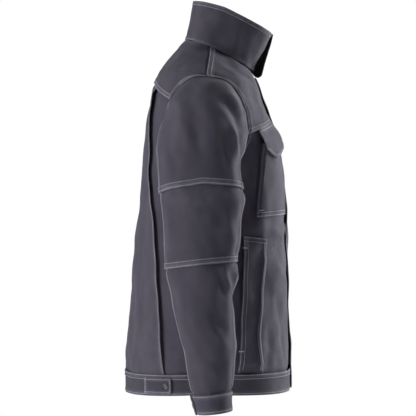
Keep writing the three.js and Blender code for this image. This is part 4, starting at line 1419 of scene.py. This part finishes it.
@dataclass
class Closure(Maker):
    """The front: zip, facings behind it, and the storm flap that snaps over it."""

    flap_low: float = 0.08  # the flap's ends, as levels
    flap_high: float = 7.75
    flap_from: float = 0.031  # x at which the flap is sewn on
    flap_wide: float = 0.064
    zip_low: float = 0.06
    zip_high: float = 8.8
    tooth_pitch: float = 0.0026
    slider_height: float = -0.345
    snap_x: float = -0.023
    snap_heights: tuple[float, ...] = (-0.150, -0.280, -0.420, -0.560)

    def build(self) -> None:
        """Builds the front closure."""
        self._strips()
        self._flap()
        self._teeth()
        self._slider()
        self._snaps()

    def _strips(self) -> None:
        """Builds the zip tapes and the facings."""
        for name, ends, levels, depth, thick, slot, material in (
            ("zip_tape", (0.0033, 0.0183), (self.zip_low, self.zip_high), -0.0030, 0.0009, "zip_tape",
             self.finishes.tape),
            ("front_facing", (0.008, 0.052), (0.10, 8.7), -0.0046, 0.0011, "facing", self.finishes.lining),
        ):
            def region(u: Array, v: Array, ends: tuple = ends, levels: tuple = levels) -> tuple[Array, Array]:
                """The strip's turn and level."""
                level = levels[0] + (levels[1] - levels[0]) * v
                return BODY.turn_at_x(-(ends[0] + (ends[1] - ends[0]) * u), level), level

            panel = Panel(name, BODY, region, thick=thick, step=0.009, folds=Cloth.body_folds,
                          lift=lambda u, v, depth=depth: depth + 0 * u)
            self.pair(panel, "torso", slot, name, material=material)

    def _flap(self) -> None:
        """Builds the storm flap: sewn on the wearer's left, lapped over the zip to the right."""
        def region(u: Array, v: Array) -> tuple[Array, Array]:
            """The flap's turn and level."""
            level = self.flap_low + (self.flap_high - self.flap_low) * v
            return BODY.turn_at_x(self.flap_from - self.flap_wide * u, level), level

        def follow(turn: Array, level: Array) -> Array:
            """How far the cloth follows the opened flap: hardly at its neck end, and not where it is sewn on."""
            across = (self.flap_from - BODY.point(turn, level)[..., 0]) / self.flap_wide
            return smooth(across, 0.02, 0.22) * (1 - 0.85 * smooth(level, 5.6, 7.6))

        def stand_off(u: Array, v: Array) -> Array:
            """How far the flap stands off: over the zip, less at the chest, more over the slider."""
            free = 0.0004 + 0.0022 * (1 - smooth(v, 0.7, 0.95)) + 0.0016 * hump(v, 0.37, 0.06)
            return 0.0027 + free * smooth(u, 0, 0.4)

        rim = Edge(raised=0.0003, width=0.006)
        panel = Panel("storm_flap", BODY, region, (PLAIN, rim, rim, rim), thick=0.0024, folds=Cloth.body_folds,
                      lift=stand_off, weight=follow)
        self.panel(panel, "torso", "shell", ("storm_flap",), ("storm_flap", (0.03, -0.2, -0.3), (-0.03, -0.2, -0.3)))

    def _teeth(self) -> None:
        """Builds the zip's teeth, one repeated tooth along each front edge."""
        tree = repeated_tree("zip_tooth", "GeometryNodeMeshCube", {"Size": (0.0026, 0.0013, 0.0018)})
        for side in Side:
            levels = np.linspace(self.zip_low, self.zip_high, 900)
            turn = BODY.turn_at_x(-0.0016, levels)
            points = rested(turn, levels, -0.0022)
            mirror = np.array([-side.value, 1.0, 1.0])
            shift = 0.5 if side is Side.LEFT else 0.0
            line = (points * mirror, BODY.outward(turn, levels) * mirror, 0 * levels)
            rows = resample(line, self.tooth_pitch, shift)
            piece = repeat(f"zip_teeth_{side.word}", tree, [rows], self.finishes.teeth, {"Size": 1.0})
            hang(piece, "torso", "zip_teeth", (f"zip_teeth_{side.word}",))

    def _slider(self) -> None:
        """Builds the slider and its pull."""
        level = float(BODY.level_at_height(self.slider_height, 0.0))
        place = rested(0.0, level, -0.0016)
        up = unit(BODY.point(0.0, level + 0.2) - BODY.point(0.0, level - 0.2))
        out = BODY.outward(0.0, level)
        side = np.cross(up, out)
        frame_of = lambda centre: (centre, side, up, out)
        wedge = [(-0.0036, -0.0072), (0.0036, -0.0072), (0.0050, 0.0030), (0.0046, 0.0072), (-0.0046, 0.0072),
                 (-0.0050, 0.0030)]
        bridge = [(-0.0011, -0.0050), (0.0011, -0.0050), (0.0013, 0.0052), (-0.0013, 0.0052)]
        parts = [plate(wedge, 0.0011, frame_of(place + 0.0014 * out), 0.0003),
                 plate(wedge, 0.0011, frame_of(place - 0.0020 * out), 0.0003),
                 plate([(-0.0014, 0.0030), (0.0014, 0.0030), (0.0014, 0.0070), (-0.0014, 0.0070)], 0.0030,
                       frame_of(place - 0.0003 * out), 0.0002),
                 plate(bridge, 0.0018, frame_of(place + 0.0026 * out), 0.0005)]
        hang(gathered("zip_slider", parts, self.finishes.snap), "zip_slider", "snap_metal", ("zip_slider",))
        tab = [(0.0022 * math.cos(t), 0.0022 * math.sin(t)) for t in np.linspace(0, math.pi, 9)]
        outline = tab + [(-0.0024, -0.008), (-0.0034, -0.014), (-0.0034, -0.0200), (-0.0020, -0.0215),
                         (0.0020, -0.0215), (0.0034, -0.0200), (0.0034, -0.014), (0.0024, -0.008)]
        pull = plate(outline, 0.0010, frame_of(place + 0.0042 * out - 0.0030 * up), 0.0004)
        hang(gathered("zip_pull", [pull], self.finishes.snap), "zip_slider", "snap_metal", ("zip_pull",))

    def _snaps(self) -> None:
        """Builds the four snaps of the storm flap: a stud on the front, a socket inside the flap."""
        stud = ((0.0056, 0.0), (0.0060, 0.0003), (0.0056, 0.0008), (0.0030, 0.0010), (0.0021, 0.0013),
                (0.0023, 0.0019), (0.0018, 0.0024))
        socket = ((0.0056, 0.0), (0.0060, 0.0004), (0.0058, 0.0011), (0.0046, 0.0015), (0.0034, 0.0014))
        for number, z in enumerate(self.snap_heights, 1):
            level = BODY.level_at_height(z, 5.0)
            turn = BODY.turn_at_x(self.snap_x, level)
            rest, out = rested(turn, level, 0.0), BODY.outward(turn, level)
            hang(lathe(f"flap_stud_{number}", stud, rest - 0.0002 * out, out, self.finishes.snap), "torso", "snap_metal",
                 (f"flap_stud_{number}",))
            under = rest + (0.0029 if z < -0.2 else 0.0020) * out
            hang(lathe(f"flap_socket_{number}", socket, under, -out, self.finishes.snap), "storm_flap", "snap_metal",
                 (f"flap_socket_{number}",))


CAP = ((0.0058, 0.0), (0.0063, 0.0004), (0.0064, 0.0010), (0.0059, 0.0015), (0.0051, 0.0016), (0.0045, 0.0011),
       (0.0036, 0.0009), (0.0024, 0.0012), (0.0012, 0.0014))


@dataclass
class Tabs(Maker):
    """The waist tabs and the cuffs' snaps."""

    sewn_turn: float = 131.5
    free_turn: float = 108.5
    height: float = 0.762  # share of the waistband's height
    snap_sink: float = 0.0001

    def build(self) -> None:
        """Builds the tabs and the snaps."""
        def region(u: Array, v: Array) -> tuple[Array, Array]:
            """The tab's turn and level: pointed a little at its free end."""
            up = 2 * v - 1
            return self.sewn_turn + (self.free_turn + up**8 - self.sewn_turn) * u, 0.5 + self.height / 2 * up

        rim = Edge(raised=0.0003, width=0.005)
        panel = Panel("waist_tab", BODY, region, (PLAIN, rim, rim, rim), thick=0.0022, folds=Cloth.body_folds,
                      fold_share=0.35, lift=lambda u, v: 0.0030 + 0.0008 * smooth(u, 0, 0.2))
        # The tabs take the darker band twill too: painted shade.
        self.pair(panel, "waist_tab_{side}", "shell", "waist_tab", material=self.finishes.band)
        for side in Side:
            for name, across, body in (("waist_tab", 0.81, "waist_tab"), ("cuff", 0.959, "forearm")):
                point, out = LINES[f"{name}_{side.word}"].spot(across, 0.5)
                snap = f"{name.removesuffix('_tab')}_snap_{side.word}"
                hang(lathe(snap, CAP, point - self.snap_sink * out, out, self.finishes.snap), f"{body}_{side.word}",
                     "snap_metal", (snap,))


@dataclass
class Pockets(Maker):
    """Chest pockets with their flaps, and hand pockets."""

    chest_heights: tuple[float, float] = (-0.346, -0.208)
    chest_inner: float = 0.052  # from the centre front
    flap_inner: float = 0.048
    flap_outer_turn: float = 50.5
    flap_length: float = 0.062
    flap_chamfer: float = 0.024
    flap_slant: float = 0.012
    hand_low: float = 1.02
    hand_top: float = -0.388
    hand_front_turns: tuple[float, ...] = (53.0, 56.0, 53.0, 49.5)  # from the waistband up

    def build(self) -> None:
        """Builds the pockets."""
        self._chest()
        self._flaps()
        self._hand()

    def _chest(self) -> None:
        """Builds the chest pockets: sewn on three sides, standing off towards the arm, open under the flap."""
        low, high = (float(BODY.level_at_height(z, 30.0)) for z in self.chest_heights)

        def region(u: Array, v: Array) -> tuple[Array, Array]:
            """The pocket's turn and level."""
            level = low + (high - low) * v
            inner, outer = BODY.turn_at_x(-self.chest_inner, level), 58.5 - 9.0 * v
            return inner + (outer - inner) * u, level

        def stand_off(u: Array, v: Array) -> Array:
            """How far the pocket stands off: pulled flat along its sewn edges."""
            sides = smooth(u, 0, 0.045) * (1 - smooth(u, 0.955, 1)) * smooth(v, 0, 0.04)
            return 0.0024 + (0.0012 + 0.0065 * smooth(u, 0.1, 0.85) * (0.55 + 0.45 * v)) * sides

        rim = Edge(raised=0.0004, width=0.0045)
        panel = Panel("chest_pocket", BODY, region, (rim, rim, rim, PLAIN), lift=stand_off, folds=Cloth.body_folds,
                      step=0.0045)
        self.pair(panel, "torso", "shell", "chest_pocket")

    def _flaps(self) -> None:
        """Builds the chest flaps, sewn into the yoke seam, their lower corners cut off."""
        seam = lambda turn: YOKE_FRONT_CENTRE + (YOKE_FRONT_ARMHOLE - YOKE_FRONT_CENTRE) * turn / 60.8

        def region(u: Array, v: Array) -> tuple[Array, Array]:
            """The flap's turn and level, v from its lower edge."""
            inner = BODY.turn_at_x(-self.flap_inner, 5.2)
            turn = inner + (self.flap_outer_turn - inner) * u
            top = seam(turn) + 0.02
            cut = (self.flap_length - self.flap_chamfer * np.maximum(0, 1 - (1 - u) / 0.30)
                   - self.flap_slant * np.maximum(0, 1 - u / 0.5))
            z = BODY.point(turn, top)[..., 2] - cut
            return turn, top + (BODY.level_at_height(z, turn) - top) * (1 - v)

        def hang_off(u: Array, v: Array) -> Array:
            """How far the flap stands off: more towards its lower edge."""
            down = 1 - v
            belly = 0.0022 * np.sin(math.pi * u) * down
            return 0.0032 + 0.0080 * smooth(down, 0.02, 0.75) + belly + 0.0028 * down**2 * u

        rim = Edge(raised=0.0004, width=0.005)
        panel = Panel("chest_flap", BODY, region, (rim, rim, rim, PLAIN), thick=0.0024, lift=hang_off,
                      folds=Cloth.body_folds, step=0.004)
        self.pair(panel, "chest_flap_{side}", "shell", "chest_flap")

    def _hand(self) -> None:
        """Builds the hand pockets: sewn in front, above and below, open towards the back."""
        low, high = self.hand_low, float(BODY.level_at_height(self.hand_top, 60.0))
        front = [(turn, 0, 0) for turn in self.hand_front_turns]

        def region(u: Array, v: Array) -> tuple[Array, Array]:
            """The pocket's turn and level."""
            start = spline(front, v)[..., 0]
            end = 73.5 - 4.0 * v
            return start + (end - start) * u, low + (high - low + 0.05 * (u - 0.5)) * v

        def stand_off(u: Array, v: Array) -> Array:
            """How far the pocket stands off, with a raised fold beside its front edge."""
            sides = smooth(u, 0, 0.06) * smooth(v, 0, 0.05) * (1 - smooth(v, 0.965, 1))
            fold = 0.0040 * hump(u, 0.16, 0.07) * smooth(v, 0.0, 0.12) * (1 - smooth(v, 0.85, 1))
            return 0.0024 + (0.0010 + 0.0050 * smooth(u, 0.25, 0.9) * np.sin(math.pi * v) ** 0.5) * sides + fold

        rim = Edge(raised=0.0005, width=0.0045)
        panel = Panel("hand_pocket", BODY, region, (rim, rim, BAND_UNDER, rim), lift=stand_off,
                      folds=Cloth.body_folds, step=0.0045)
        self.pair(panel, "torso", "shell", "hand_pocket")


class Hanger(Maker):
    """The loop that the jacket hangs by."""

    def build(self) -> None:
        """Builds the loop: a flat tape bent to an arch."""
        share = np.linspace(0, 1, 33)
        half, height, wide, thick = 0.027, 0.023, 0.006, 0.0012
        angle = math.pi * (1 - share)
        lean = np.array([0.0, 0.70, -0.71])
        across, up = np.array([1.0, 0.0, 0.0]), -unit(lean)
        middle = np.stack([half * np.cos(angle), 0 * share, 0 * share], -1)
        middle = middle + (height * (1 - np.sin(angle)))[:, None] * lean
        flat = unit(np.cross(across, up))
        sideways = np.stack([np.cos(angle) * height, 0 * angle, 0 * angle], -1)
        outward = unit(sideways + (np.sin(angle) * half)[:, None] * up)
        ring = []
        for side, layer in ((-1, 0), (1, 0), (1, 1), (-1, 1)):
            ring.append(middle + side * wide / 2 * flat + outward * (thick * layer))
        points = np.stack(ring, 1).reshape(-1, 3)
        faces = []
        for i in range(len(share) - 1):
            for k in range(4):
                faces.append((4 * i + k, 4 * i + (k + 1) % 4, 4 * i + 4 + (k + 1) % 4, 4 * i + 4 + k))
        faces += [(3, 2, 1, 0), tuple(4 * (len(share) - 1) + k for k in range(4))]
        piece = solid("hanger_loop", points, np.array(faces), self.finishes.lining)
        run = np.repeat(share * 0.08, 4)
        across_tape = np.tile([0, wide, wide, 0], len(share))
        write_cloth_data(piece, {"u": run, "v": across_tape, "seam": 0 * run, "ridge": 0 * run})
        hang(piece, "torso", "facing", ("hanger_loop",))


# ---------------------------------------------------------------- small solids and repeats


def lathe(name: str, profile: Sequence[tuple[float, float]], place: Array, axis: Array,
          material: bpy.types.Material, segments: int = 40) -> bpy.types.Object:
    """A round solid on an axis.

    Args:
        name: its name.
        profile: radius and height, from its rim at the foot to near the axis at the top.
        place: the middle of its foot.
        axis: the way it points.
        material: its finish.
        segments: steps round it.

    Returns:
        The object.
    """
    axis = unit(np.asarray(axis, float))
    side = unit(np.cross(axis, [0.3, 0.2, 0.9]))
    other = np.cross(axis, side)
    turn = np.linspace(0, 2 * math.pi, segments, endpoint=False)
    round_way = np.cos(turn)[:, None] * side + np.sin(turn)[:, None] * other
    rings = [np.asarray(place) + radius * round_way + height * axis for radius, height in profile]
    foot, top = np.asarray(place), np.asarray(place) + profile[-1][1] * axis
    points = np.concatenate([*rings, [foot], [top]])
    last, faces = len(points) - 1, []
    for i in range(segments):
        j = (i + 1) % segments
        for k in range(len(profile) - 1):
            a, b = k * segments, (k + 1) * segments
            faces.append((a + i, a + j, b + j, b + i))
        faces.append((last - 1, j, i, i))
        end = (len(profile) - 1) * segments
        faces.append((last, end + i, end + j, end + j))
    clean = [tuple(dict.fromkeys(face)) for face in faces]
    return mesh_piece(name, points, clean, material)


def plate(outline: Sequence[tuple[float, float]], thick: float, place: tuple[Array, Array, Array, Array],
          bevel: float) -> tuple[Array, list]:
    """A flat solid with bevelled edges.

    Args:
        outline: its corners, in its own plane.
        thick: its thickness, half to each side.
        place: centre, and the directions of the outline's two coordinates and of the thickness.
        bevel: the bevel's size.

    Returns:
        Points and faces.
    """
    centre, across, up, out = place
    corners = np.asarray(outline, float)
    middle = corners.mean(0)
    inward = unit(middle - corners)
    rings = []
    for height, inset in ((-thick / 2, bevel), (-thick / 2 + bevel, 0), (thick / 2 - bevel, 0), (thick / 2, bevel)):
        flat = corners + inward * inset
        rings.append(centre + flat[:, :1] * across + flat[:, 1:] * up + height * out)
    count = len(corners)
    faces = [tuple(range(count))[::-1], tuple(3 * count + i for i in range(count))]
    for k in range(3):
        for i in range(count):
            j = (i + 1) % count
            faces.append((k * count + i, k * count + j, (k + 1) * count + j, (k + 1) * count + i))
    return np.concatenate(rings), faces


def gathered(name: str, parts: Sequence[tuple[Array, list]], material: bpy.types.Material) -> bpy.types.Object:
    """Several solids as one piece."""
    points, faces = [], []
    for part_points, part_faces in parts:
        start = sum(len(p) for p in points)
        points.append(part_points)
        faces += [tuple(start + i for i in face) for face in part_faces]
    return mesh_piece(name, np.concatenate(points), faces, material, smooth_shading=False)


def mesh_piece(name: str, points: Array, faces: Sequence[tuple], material: bpy.types.Material,
               smooth_shading: bool = True) -> bpy.types.Object:
    """A closed mesh object with its faces turned outwards."""
    mesh = bpy.data.meshes.new(name)
    mesh.from_pydata(np.asarray(points).tolist(), [], [tuple(int(i) for i in face) for face in faces])
    work = bmesh.new()
    work.from_mesh(mesh)
    bmesh.ops.recalc_face_normals(work, faces=work.faces)
    work.to_mesh(mesh)
    work.free()
    mesh.materials.append(material)
    if smooth_shading:
        mesh.shade_smooth()
        mesh.set_sharp_from_angle(angle=math.radians(38))
    return linked(name, mesh)


def resample(row: tuple[Array, Array, Array], pitch: float, shift: float = 0.0) -> tuple[Array, Array, Array, Array]:
    """Points at even steps along a line.

    Args:
        row: points, outward directions and weights.
        pitch: the step.
        shift: how far the first point lies along, in steps.

    Returns:
        Points, directions along the line, outward directions and weights.
    """
    points, out, weight = row
    run = np.concatenate([[0], np.cumsum(np.linalg.norm(np.diff(points, axis=0), axis=-1))])
    places = np.arange(pitch * (0.5 + shift), run[-1] - pitch * 0.3, pitch)
    read = lambda values, at: np.stack([np.interp(at, run, values[:, k]) for k in range(3)], -1)
    ahead, behind = read(points, places + 0.3 * pitch), read(points, places - 0.3 * pitch)
    return read(points, places), unit(ahead - behind), unit(read(out, places)), np.interp(places, run, weight)


def repeated_tree(name: str, shape: str, settings: dict[str, object]) -> bpy.types.NodeTree:
    """A node tree that puts a small solid on every point of a mesh, turned along its line.

    Args:
        name: the tree's name.
        shape: node type of the solid.
        settings: the shape node's input values.

    Returns:
        The tree, with inputs for the size, its unevenness, the seed and the material.
    """
    tree = bpy.data.node_groups.new(name, "GeometryNodeTree")
    for name, way, kind in (("Points", "INPUT", "Geometry"), ("Size", "INPUT", "Float"),
                            ("Unevenness", "INPUT", "Float"), ("Seed", "INPUT", "Int"),
                            ("Finish", "INPUT", "Material"), ("Solids", "OUTPUT", "Geometry")):
        tree.interface.new_socket(name=name, in_out=way, socket_type="NodeSocket" + kind)
    node = partial(add_node, tree)
    start = node("NodeGroupInput")
    solid_node = node(shape, None, settings)
    along = node("GeometryNodeInputNamedAttribute", {"data_type": "FLOAT_VECTOR"}, {"Name": "along"})
    out = node("GeometryNodeInputNamedAttribute", {"data_type": "FLOAT_VECTOR"}, {"Name": "out"})
    turned = node("FunctionNodeAxesToRotation", {"primary_axis": "X", "secondary_axis": "Z"},
                  {0: along.outputs["Attribute"], 1: out.outputs["Attribute"]})
    spread = node("ShaderNodeMath", {"operation": "SUBTRACT"}, {0: 1.0, 1: start.outputs["Unevenness"]})
    random = node("FunctionNodeRandomValue", {"data_type": "FLOAT"},
                  {"Min": spread.outputs[0], "Max": 1.0, "Seed": start.outputs["Seed"]})
    random_size = next(o for o in random.outputs if o.enabled)
    size = node("ShaderNodeMath", {"operation": "MULTIPLY"}, {0: start.outputs["Size"], 1: random_size})
    placed = node("GeometryNodeInstanceOnPoints", None, {
        "Points": start.outputs["Points"], "Instance": solid_node.outputs[0], "Rotation": turned.outputs[0],
        "Scale": size.outputs[0]})
    real = node("GeometryNodeRealizeInstances", None, {0: placed.outputs[0]})
    finish = node("GeometryNodeSetMaterial", None, {"Geometry": real.outputs[0], "Material": start.outputs["Finish"]})
    node("NodeGroupOutput", None, {0: finish.outputs[0]})
    return tree


def repeat(name: str, tree: bpy.types.NodeTree, rows: Sequence[tuple], material: bpy.types.Material,
           inputs: dict[str, float]) -> bpy.types.Object:
    """Runs a repeating tree over rows of points and keeps the result as a plain mesh.

    Args:
        name: the piece's name.
        tree: the tree.
        rows: points, directions along, outward directions and weights of each row.
        material: the finish.
        inputs: values of the tree's named inputs.

    Returns:
        The object.
    """
    points, along, out, weight = (np.concatenate([row[i] for row in rows]) for i in range(4))
    mesh = bpy.data.meshes.new(name + "_points")
    mesh.from_pydata(points.tolist(), [], [])
    for key, kind, values in (("along", "FLOAT_VECTOR", along), ("out", "FLOAT_VECTOR", out),
                              ("weight", "FLOAT", weight)):
        stored = mesh.attributes.new(key, kind, "POINT")
        field_name = "vector" if kind == "FLOAT_VECTOR" else "value"
        stored.data.foreach_set(field_name, np.asarray(values, np.float32).ravel())
    source = linked(name + "_source", mesh)
    modifier = source.modifiers.new("repeat", "NODES")
    modifier.node_group = tree
    wanted = {"Unevenness": 0.08, "Seed": 7, "Finish": material, **inputs}
    for item in tree.interface.items_tree:
        if item.in_out == "INPUT" and item.name in wanted:
            modifier[item.identifier] = wanted[item.name]
    graph = bpy.context.evaluated_depsgraph_get()
    result = bpy.data.meshes.new_from_object(source.evaluated_get(graph), preserve_all_data_layers=True,
                                             depsgraph=graph)
    bpy.data.objects.remove(source)
    bpy.data.meshes.remove(mesh)
    result.name = name
    piece = linked(name, result)
    if not result.materials:
        result.materials.append(material)
    return piece


@dataclass
class Stitching(Maker):
    """The topstitching: rows of thread along the edges of the panels that are already built."""

    pitch: float = 0.0036
    near: float = 0.0018
    apart: float = 0.0072
    rows: dict[tuple, list] = field(default_factory=dict)

    def row(self, group: tuple, name: str, rim: Rim, distances: Sequence[float], first: float = 0.0,
            last: float = 1.0) -> None:
        """Adds rows along an edge of a panel.

        Args:
            group: body, and the body that it bends onto, if any.
            name: the panel.
            rim: the edge.
            distances: how far inside it each row runs.
            first: share of the edge at which the rows start.
            last: share at which they end.
        """
        for distance in distances:
            points, out, weight = LINES[name].row(rim, distance, first, last)
            self.rows.setdefault(group, []).append(resample((points + 0.00024 * out, out, weight), self.pitch))

    def bartack(self, group: tuple, name: str, u: float, v: float) -> None:
        """Adds a bartack: a short close row of crosswise stitches."""
        panel = LINES[name]
        point, out = panel.spot(u, v)
        next_point, _ = panel.spot(min(1, u + 0.02), v)
        way = unit(next_point - point)
        places = np.linspace(-0.0045, 0.0045, 13)[:, None]
        cross = unit(np.cross(out, way))
        count = len(places)
        self.rows.setdefault(group, []).append((point + places * way + 0.0004 * out, np.tile(cross, (count, 1)),
                                                np.tile(out, (count, 1)), np.zeros(count)))

    def build(self) -> None:
        """Builds every row, one piece of stitches to each way of moving."""
        pair = (self.near, self.near + self.apart)
        for side in Side:
            self._side(side.word, pair)
        torso = ("torso",)
        self.row(torso, "yoke_back", Rim.LOW, pair, 0.02, 0.98)
        for rim in (Rim.START, Rim.END):
            self.row(torso, "yoke_back", rim, pair, 0.0, 0.56)
            self.row(torso, "centre_back", rim, (0.002,), 0.02, 0.98)
        self.row(torso, "band_back", Rim.HIGH, pair)
        self.row(torso, "band_back", Rim.LOW, (0.004,))
        self.row(torso, "stand_collar", Rim.HIGH, (0.008,), 0.015, 0.985)
        self.row(torso, "stand_collar", Rim.LOW, (0.0015,), 0.36, 0.64)
        flap = ("torso", "storm_flap")
        self.row(flap, "storm_flap", Rim.START, pair, 0.01, 0.99)
        self.row(flap, "storm_flap", Rim.END, (0.006,), 0.01, 0.99)
        tree = repeated_tree("topstitch", "GeometryNodeMeshUVSphere", {"Segments": 6, "Rings": 4, "Radius": 1.0})
        squash = tree.nodes.new("GeometryNodeTransform")
        squash.inputs["Scale"].default_value = (0.00158, 0.00054, 0.00040)
        ball = next(n for n in tree.nodes if n.bl_idname == "GeometryNodeMeshUVSphere")
        placed = next(n for n in tree.nodes if n.bl_idname == "GeometryNodeInstanceOnPoints")
        tree.links.new(ball.outputs[0], squash.inputs[0])
        tree.links.new(squash.outputs[0], placed.inputs["Instance"])
        for group, rows in self.rows.items():
            name = "stitches_" + "_onto_".join(group)
            piece = repeat(name, tree, rows, self.finishes.thread, {"Size": 1.0})
            onto = (group[1], (0, 0, 0), (0, 0, -0.1)) if len(group) > 1 else None
            if onto and group[1].startswith("forearm"):
                onto = elbow_bend(Side.RIGHT if group[1].endswith(Side.RIGHT.word) else Side.LEFT)
            hang(piece, group[0], "shell", (), onto)

    def _side(self, word: str, pair: tuple[float, float]) -> None:
        """Adds the rows of one side of the jacket, in sewing order."""
        torso, bending = ("torso",), ("torso", f"sleeve_{word}")
        arm, cuff = (f"sleeve_{word}", f"forearm_{word}"), (f"forearm_{word}",)
        tab, flap = (f"waist_tab_{word}",), (f"chest_flap_{word}",)
        start, end, low, high = Rim.START, Rim.END, Rim.LOW, Rim.HIGH
        table = [
            (bending, "front", end, pair),
            (torso, "front", start, (0.005,), 0.02, 0.98),
            (torso, "yoke_front", low, pair, 0.01, 0.99),
            (torso, "yoke_front", end, pair),
            (bending, "side_back", start, pair, 0.6, 1.0),
            (torso, "band_front", high, pair),
            (torso, "band_front", low, (0.004,)),
            (torso, "band_front", start, (0.006,)),
        ]
        for length, group in (("upper", bending), ("elbow", arm), ("forearm", arm)):
            table += [(group, f"sleeve_{length}", rim, pair) for rim in (start, end)]
            if length != "forearm":
                table += [(group, f"{half}_{length}", high, (0.0026, 0.0106)) for half in ("sleeve", "undersleeve")]
        table += [
            (cuff, "cuff", low, (0.003,)),
            (cuff, "cuff", high, (0.005,)),
            (cuff, "cuff", end, (0.005,), 0.1, 0.9),
            (tab, "waist_tab", start, (0.003, 0.006)),
            *((tab, "waist_tab", rim, (0.0035,), 0.02, 0.98) for rim in (end, low, high)),
            (torso, "chest_pocket", start, (0.002,)),
            (torso, "chest_pocket", end, (0.002,)),
            (torso, "chest_pocket", low, pair),
            (torso, "chest_pocket", high, (0.012,)),
            *((flap, "chest_flap", rim, (0.0055,), 0.03, 0.97) for rim in (start, end, low)),
            (flap, "chest_flap", high, (0.004,)),
            (torso, "hand_pocket", start, pair, 0.02, 1.0),
            *((torso, "hand_pocket", rim, pair, 0.02, 0.98) for rim in (end, high)),
        ]
        for group, name, rim, distances, *ends in table:
            self.row(group, f"{name}_{word}", rim, distances, *ends)
        for name, u, v in (("hand", 0.96, 0.22), ("hand", 0.96, 0.93), ("chest", 0.95, 0.05), ("chest", 0.95, 0.97)):
            self.bartack(torso, f"{name}_pocket_{word}", u, v)


class Studio:
    """The plain room that the jacket is shown in: pale floor, soft lights, and the camera."""

    target = (0.0, -0.036, -0.332)
    distance = 4.0
    lens = 173.0
    surround = 0.05

    def build(self) -> None:
        """Builds the room."""
        scene = bpy.context.scene
        scene.view_settings.view_transform = "Standard"
        camera = bpy.data.objects.new("camera", bpy.data.cameras.new("camera"))
        scene.collection.objects.link(camera)
        camera.data.lens, camera.data.sensor_width = self.lens, 36.0
        camera.data.clip_end = 100.0
        camera.location = Vector(self.target) + Vector((-self.distance, 0.0, 0.0))
        camera.rotation_euler = Vector((1.0, 0.0, 0.0)).to_track_quat("-Z", "Y").to_euler()
        scene.camera = camera
        self._world()
        self._floor()
        self._light("right_rim", (1.8, -2.6, 0.4), (0, 0, -0.3), (1.6, 2.6), 190)
        self._light("left_key", (-1.7, 2.3, -0.1), (0, 0, -0.3), (1.6, 1.6), 80)
        self._light("left_rim", (1.8, 2.4, 0.3), (0, 0, -0.3), (1.6, 2.6), 28)
        self._light("right_side", (0.5, -2.8, 0.4), (0, 0, -0.35), (1.6, 2.8), 30)
        self._light("overhead", (-0.6, 0.3, 2.6), (0, 0, -0.3), (1.6, 1.6), 13)
        self._light("fill", (-3.6, 0.8, 0.4), (0, 0, -0.3), (1.4, 1.4), 6)

    def _world(self) -> None:
        """A plain white surround."""
        world = bpy.data.worlds.new("surround")
        world.use_nodes = True
        tree = world.node_tree
        tree.nodes["Background"].inputs["Color"].default_value = (1.0, 1.0, 1.0, 1.0)
        path, seen = tree.nodes.new("ShaderNodeLightPath"), tree.nodes.new("ShaderNodeMapRange")
        seen.inputs["To Min"].default_value, seen.inputs["To Max"].default_value = self.surround, 1.0
        tree.links.new(path.outputs["Is Camera Ray"], seen.inputs["Value"])
        tree.links.new(seen.outputs["Result"], tree.nodes["Background"].inputs["Strength"])
        bpy.context.scene.world = world

    @staticmethod
    def _floor() -> None:
        """A pale floor below the hanging jacket."""
        mesh = bpy.data.meshes.new("floor")
        size, z = 3.2, -1.12
        mesh.from_pydata([(-size, -size, z), (size, -size, z), (size, size, z), (-size, size, z)], [], [(0, 1, 2, 3)])
        floor = linked("floor", mesh)
        finish = Finish("pale_floor", {"Roughness": 0.9, "Specular IOR Level": 0.1})
        paint = ((0.3, (0.86, 0.86, 0.86)), (0.7, (0.92, 0.92, 0.92)))
        finish.feed("Base Color", finish.colour(finish.noise(0.4, 2.0), paint))
        away = finish.node("ShaderNodeVectorMath", {"operation": "LENGTH"},
                           {0: finish.node("ShaderNodeTexCoord").outputs["Object"]}).outputs["Value"]
        finish.feed("Alpha", (Shade(finish.tree, away) * -0.9 + 2.75).clamped())
        mesh.materials.append(finish.material)

    @staticmethod
    def _light(name: str, place: tuple, aim: tuple, size: tuple, power: float) -> None:
        """One soft rectangular light."""
        data = bpy.data.lights.new(name, "AREA")
        data.shape, (data.size, data.size_y), data.energy = "RECTANGLE", size, power
        light = bpy.data.objects.new(name, data)
        light.location = place
        light.rotation_euler = (Vector(aim) - Vector(place)).to_track_quat("-Z", "Y").to_euler()
        bpy.context.scene.collection.objects.link(light)


def main() -> None:
    """Builds the jacket, sub-assembly by sub-assembly."""
    logging.basicConfig(level=logging.INFO, format="%(name)s: %(message)s")
    finishes = Finishes()
    Trunk(finishes).build()
    Sleeves(finishes).build()
    Collar(finishes).build()
    Closure(finishes).build()
    Tabs(finishes).build()
    Pockets(finishes).build()
    Hanger(finishes).build()
    Stitching(finishes).build()
    Studio().build()


if __name__ == "__main__":
    main()
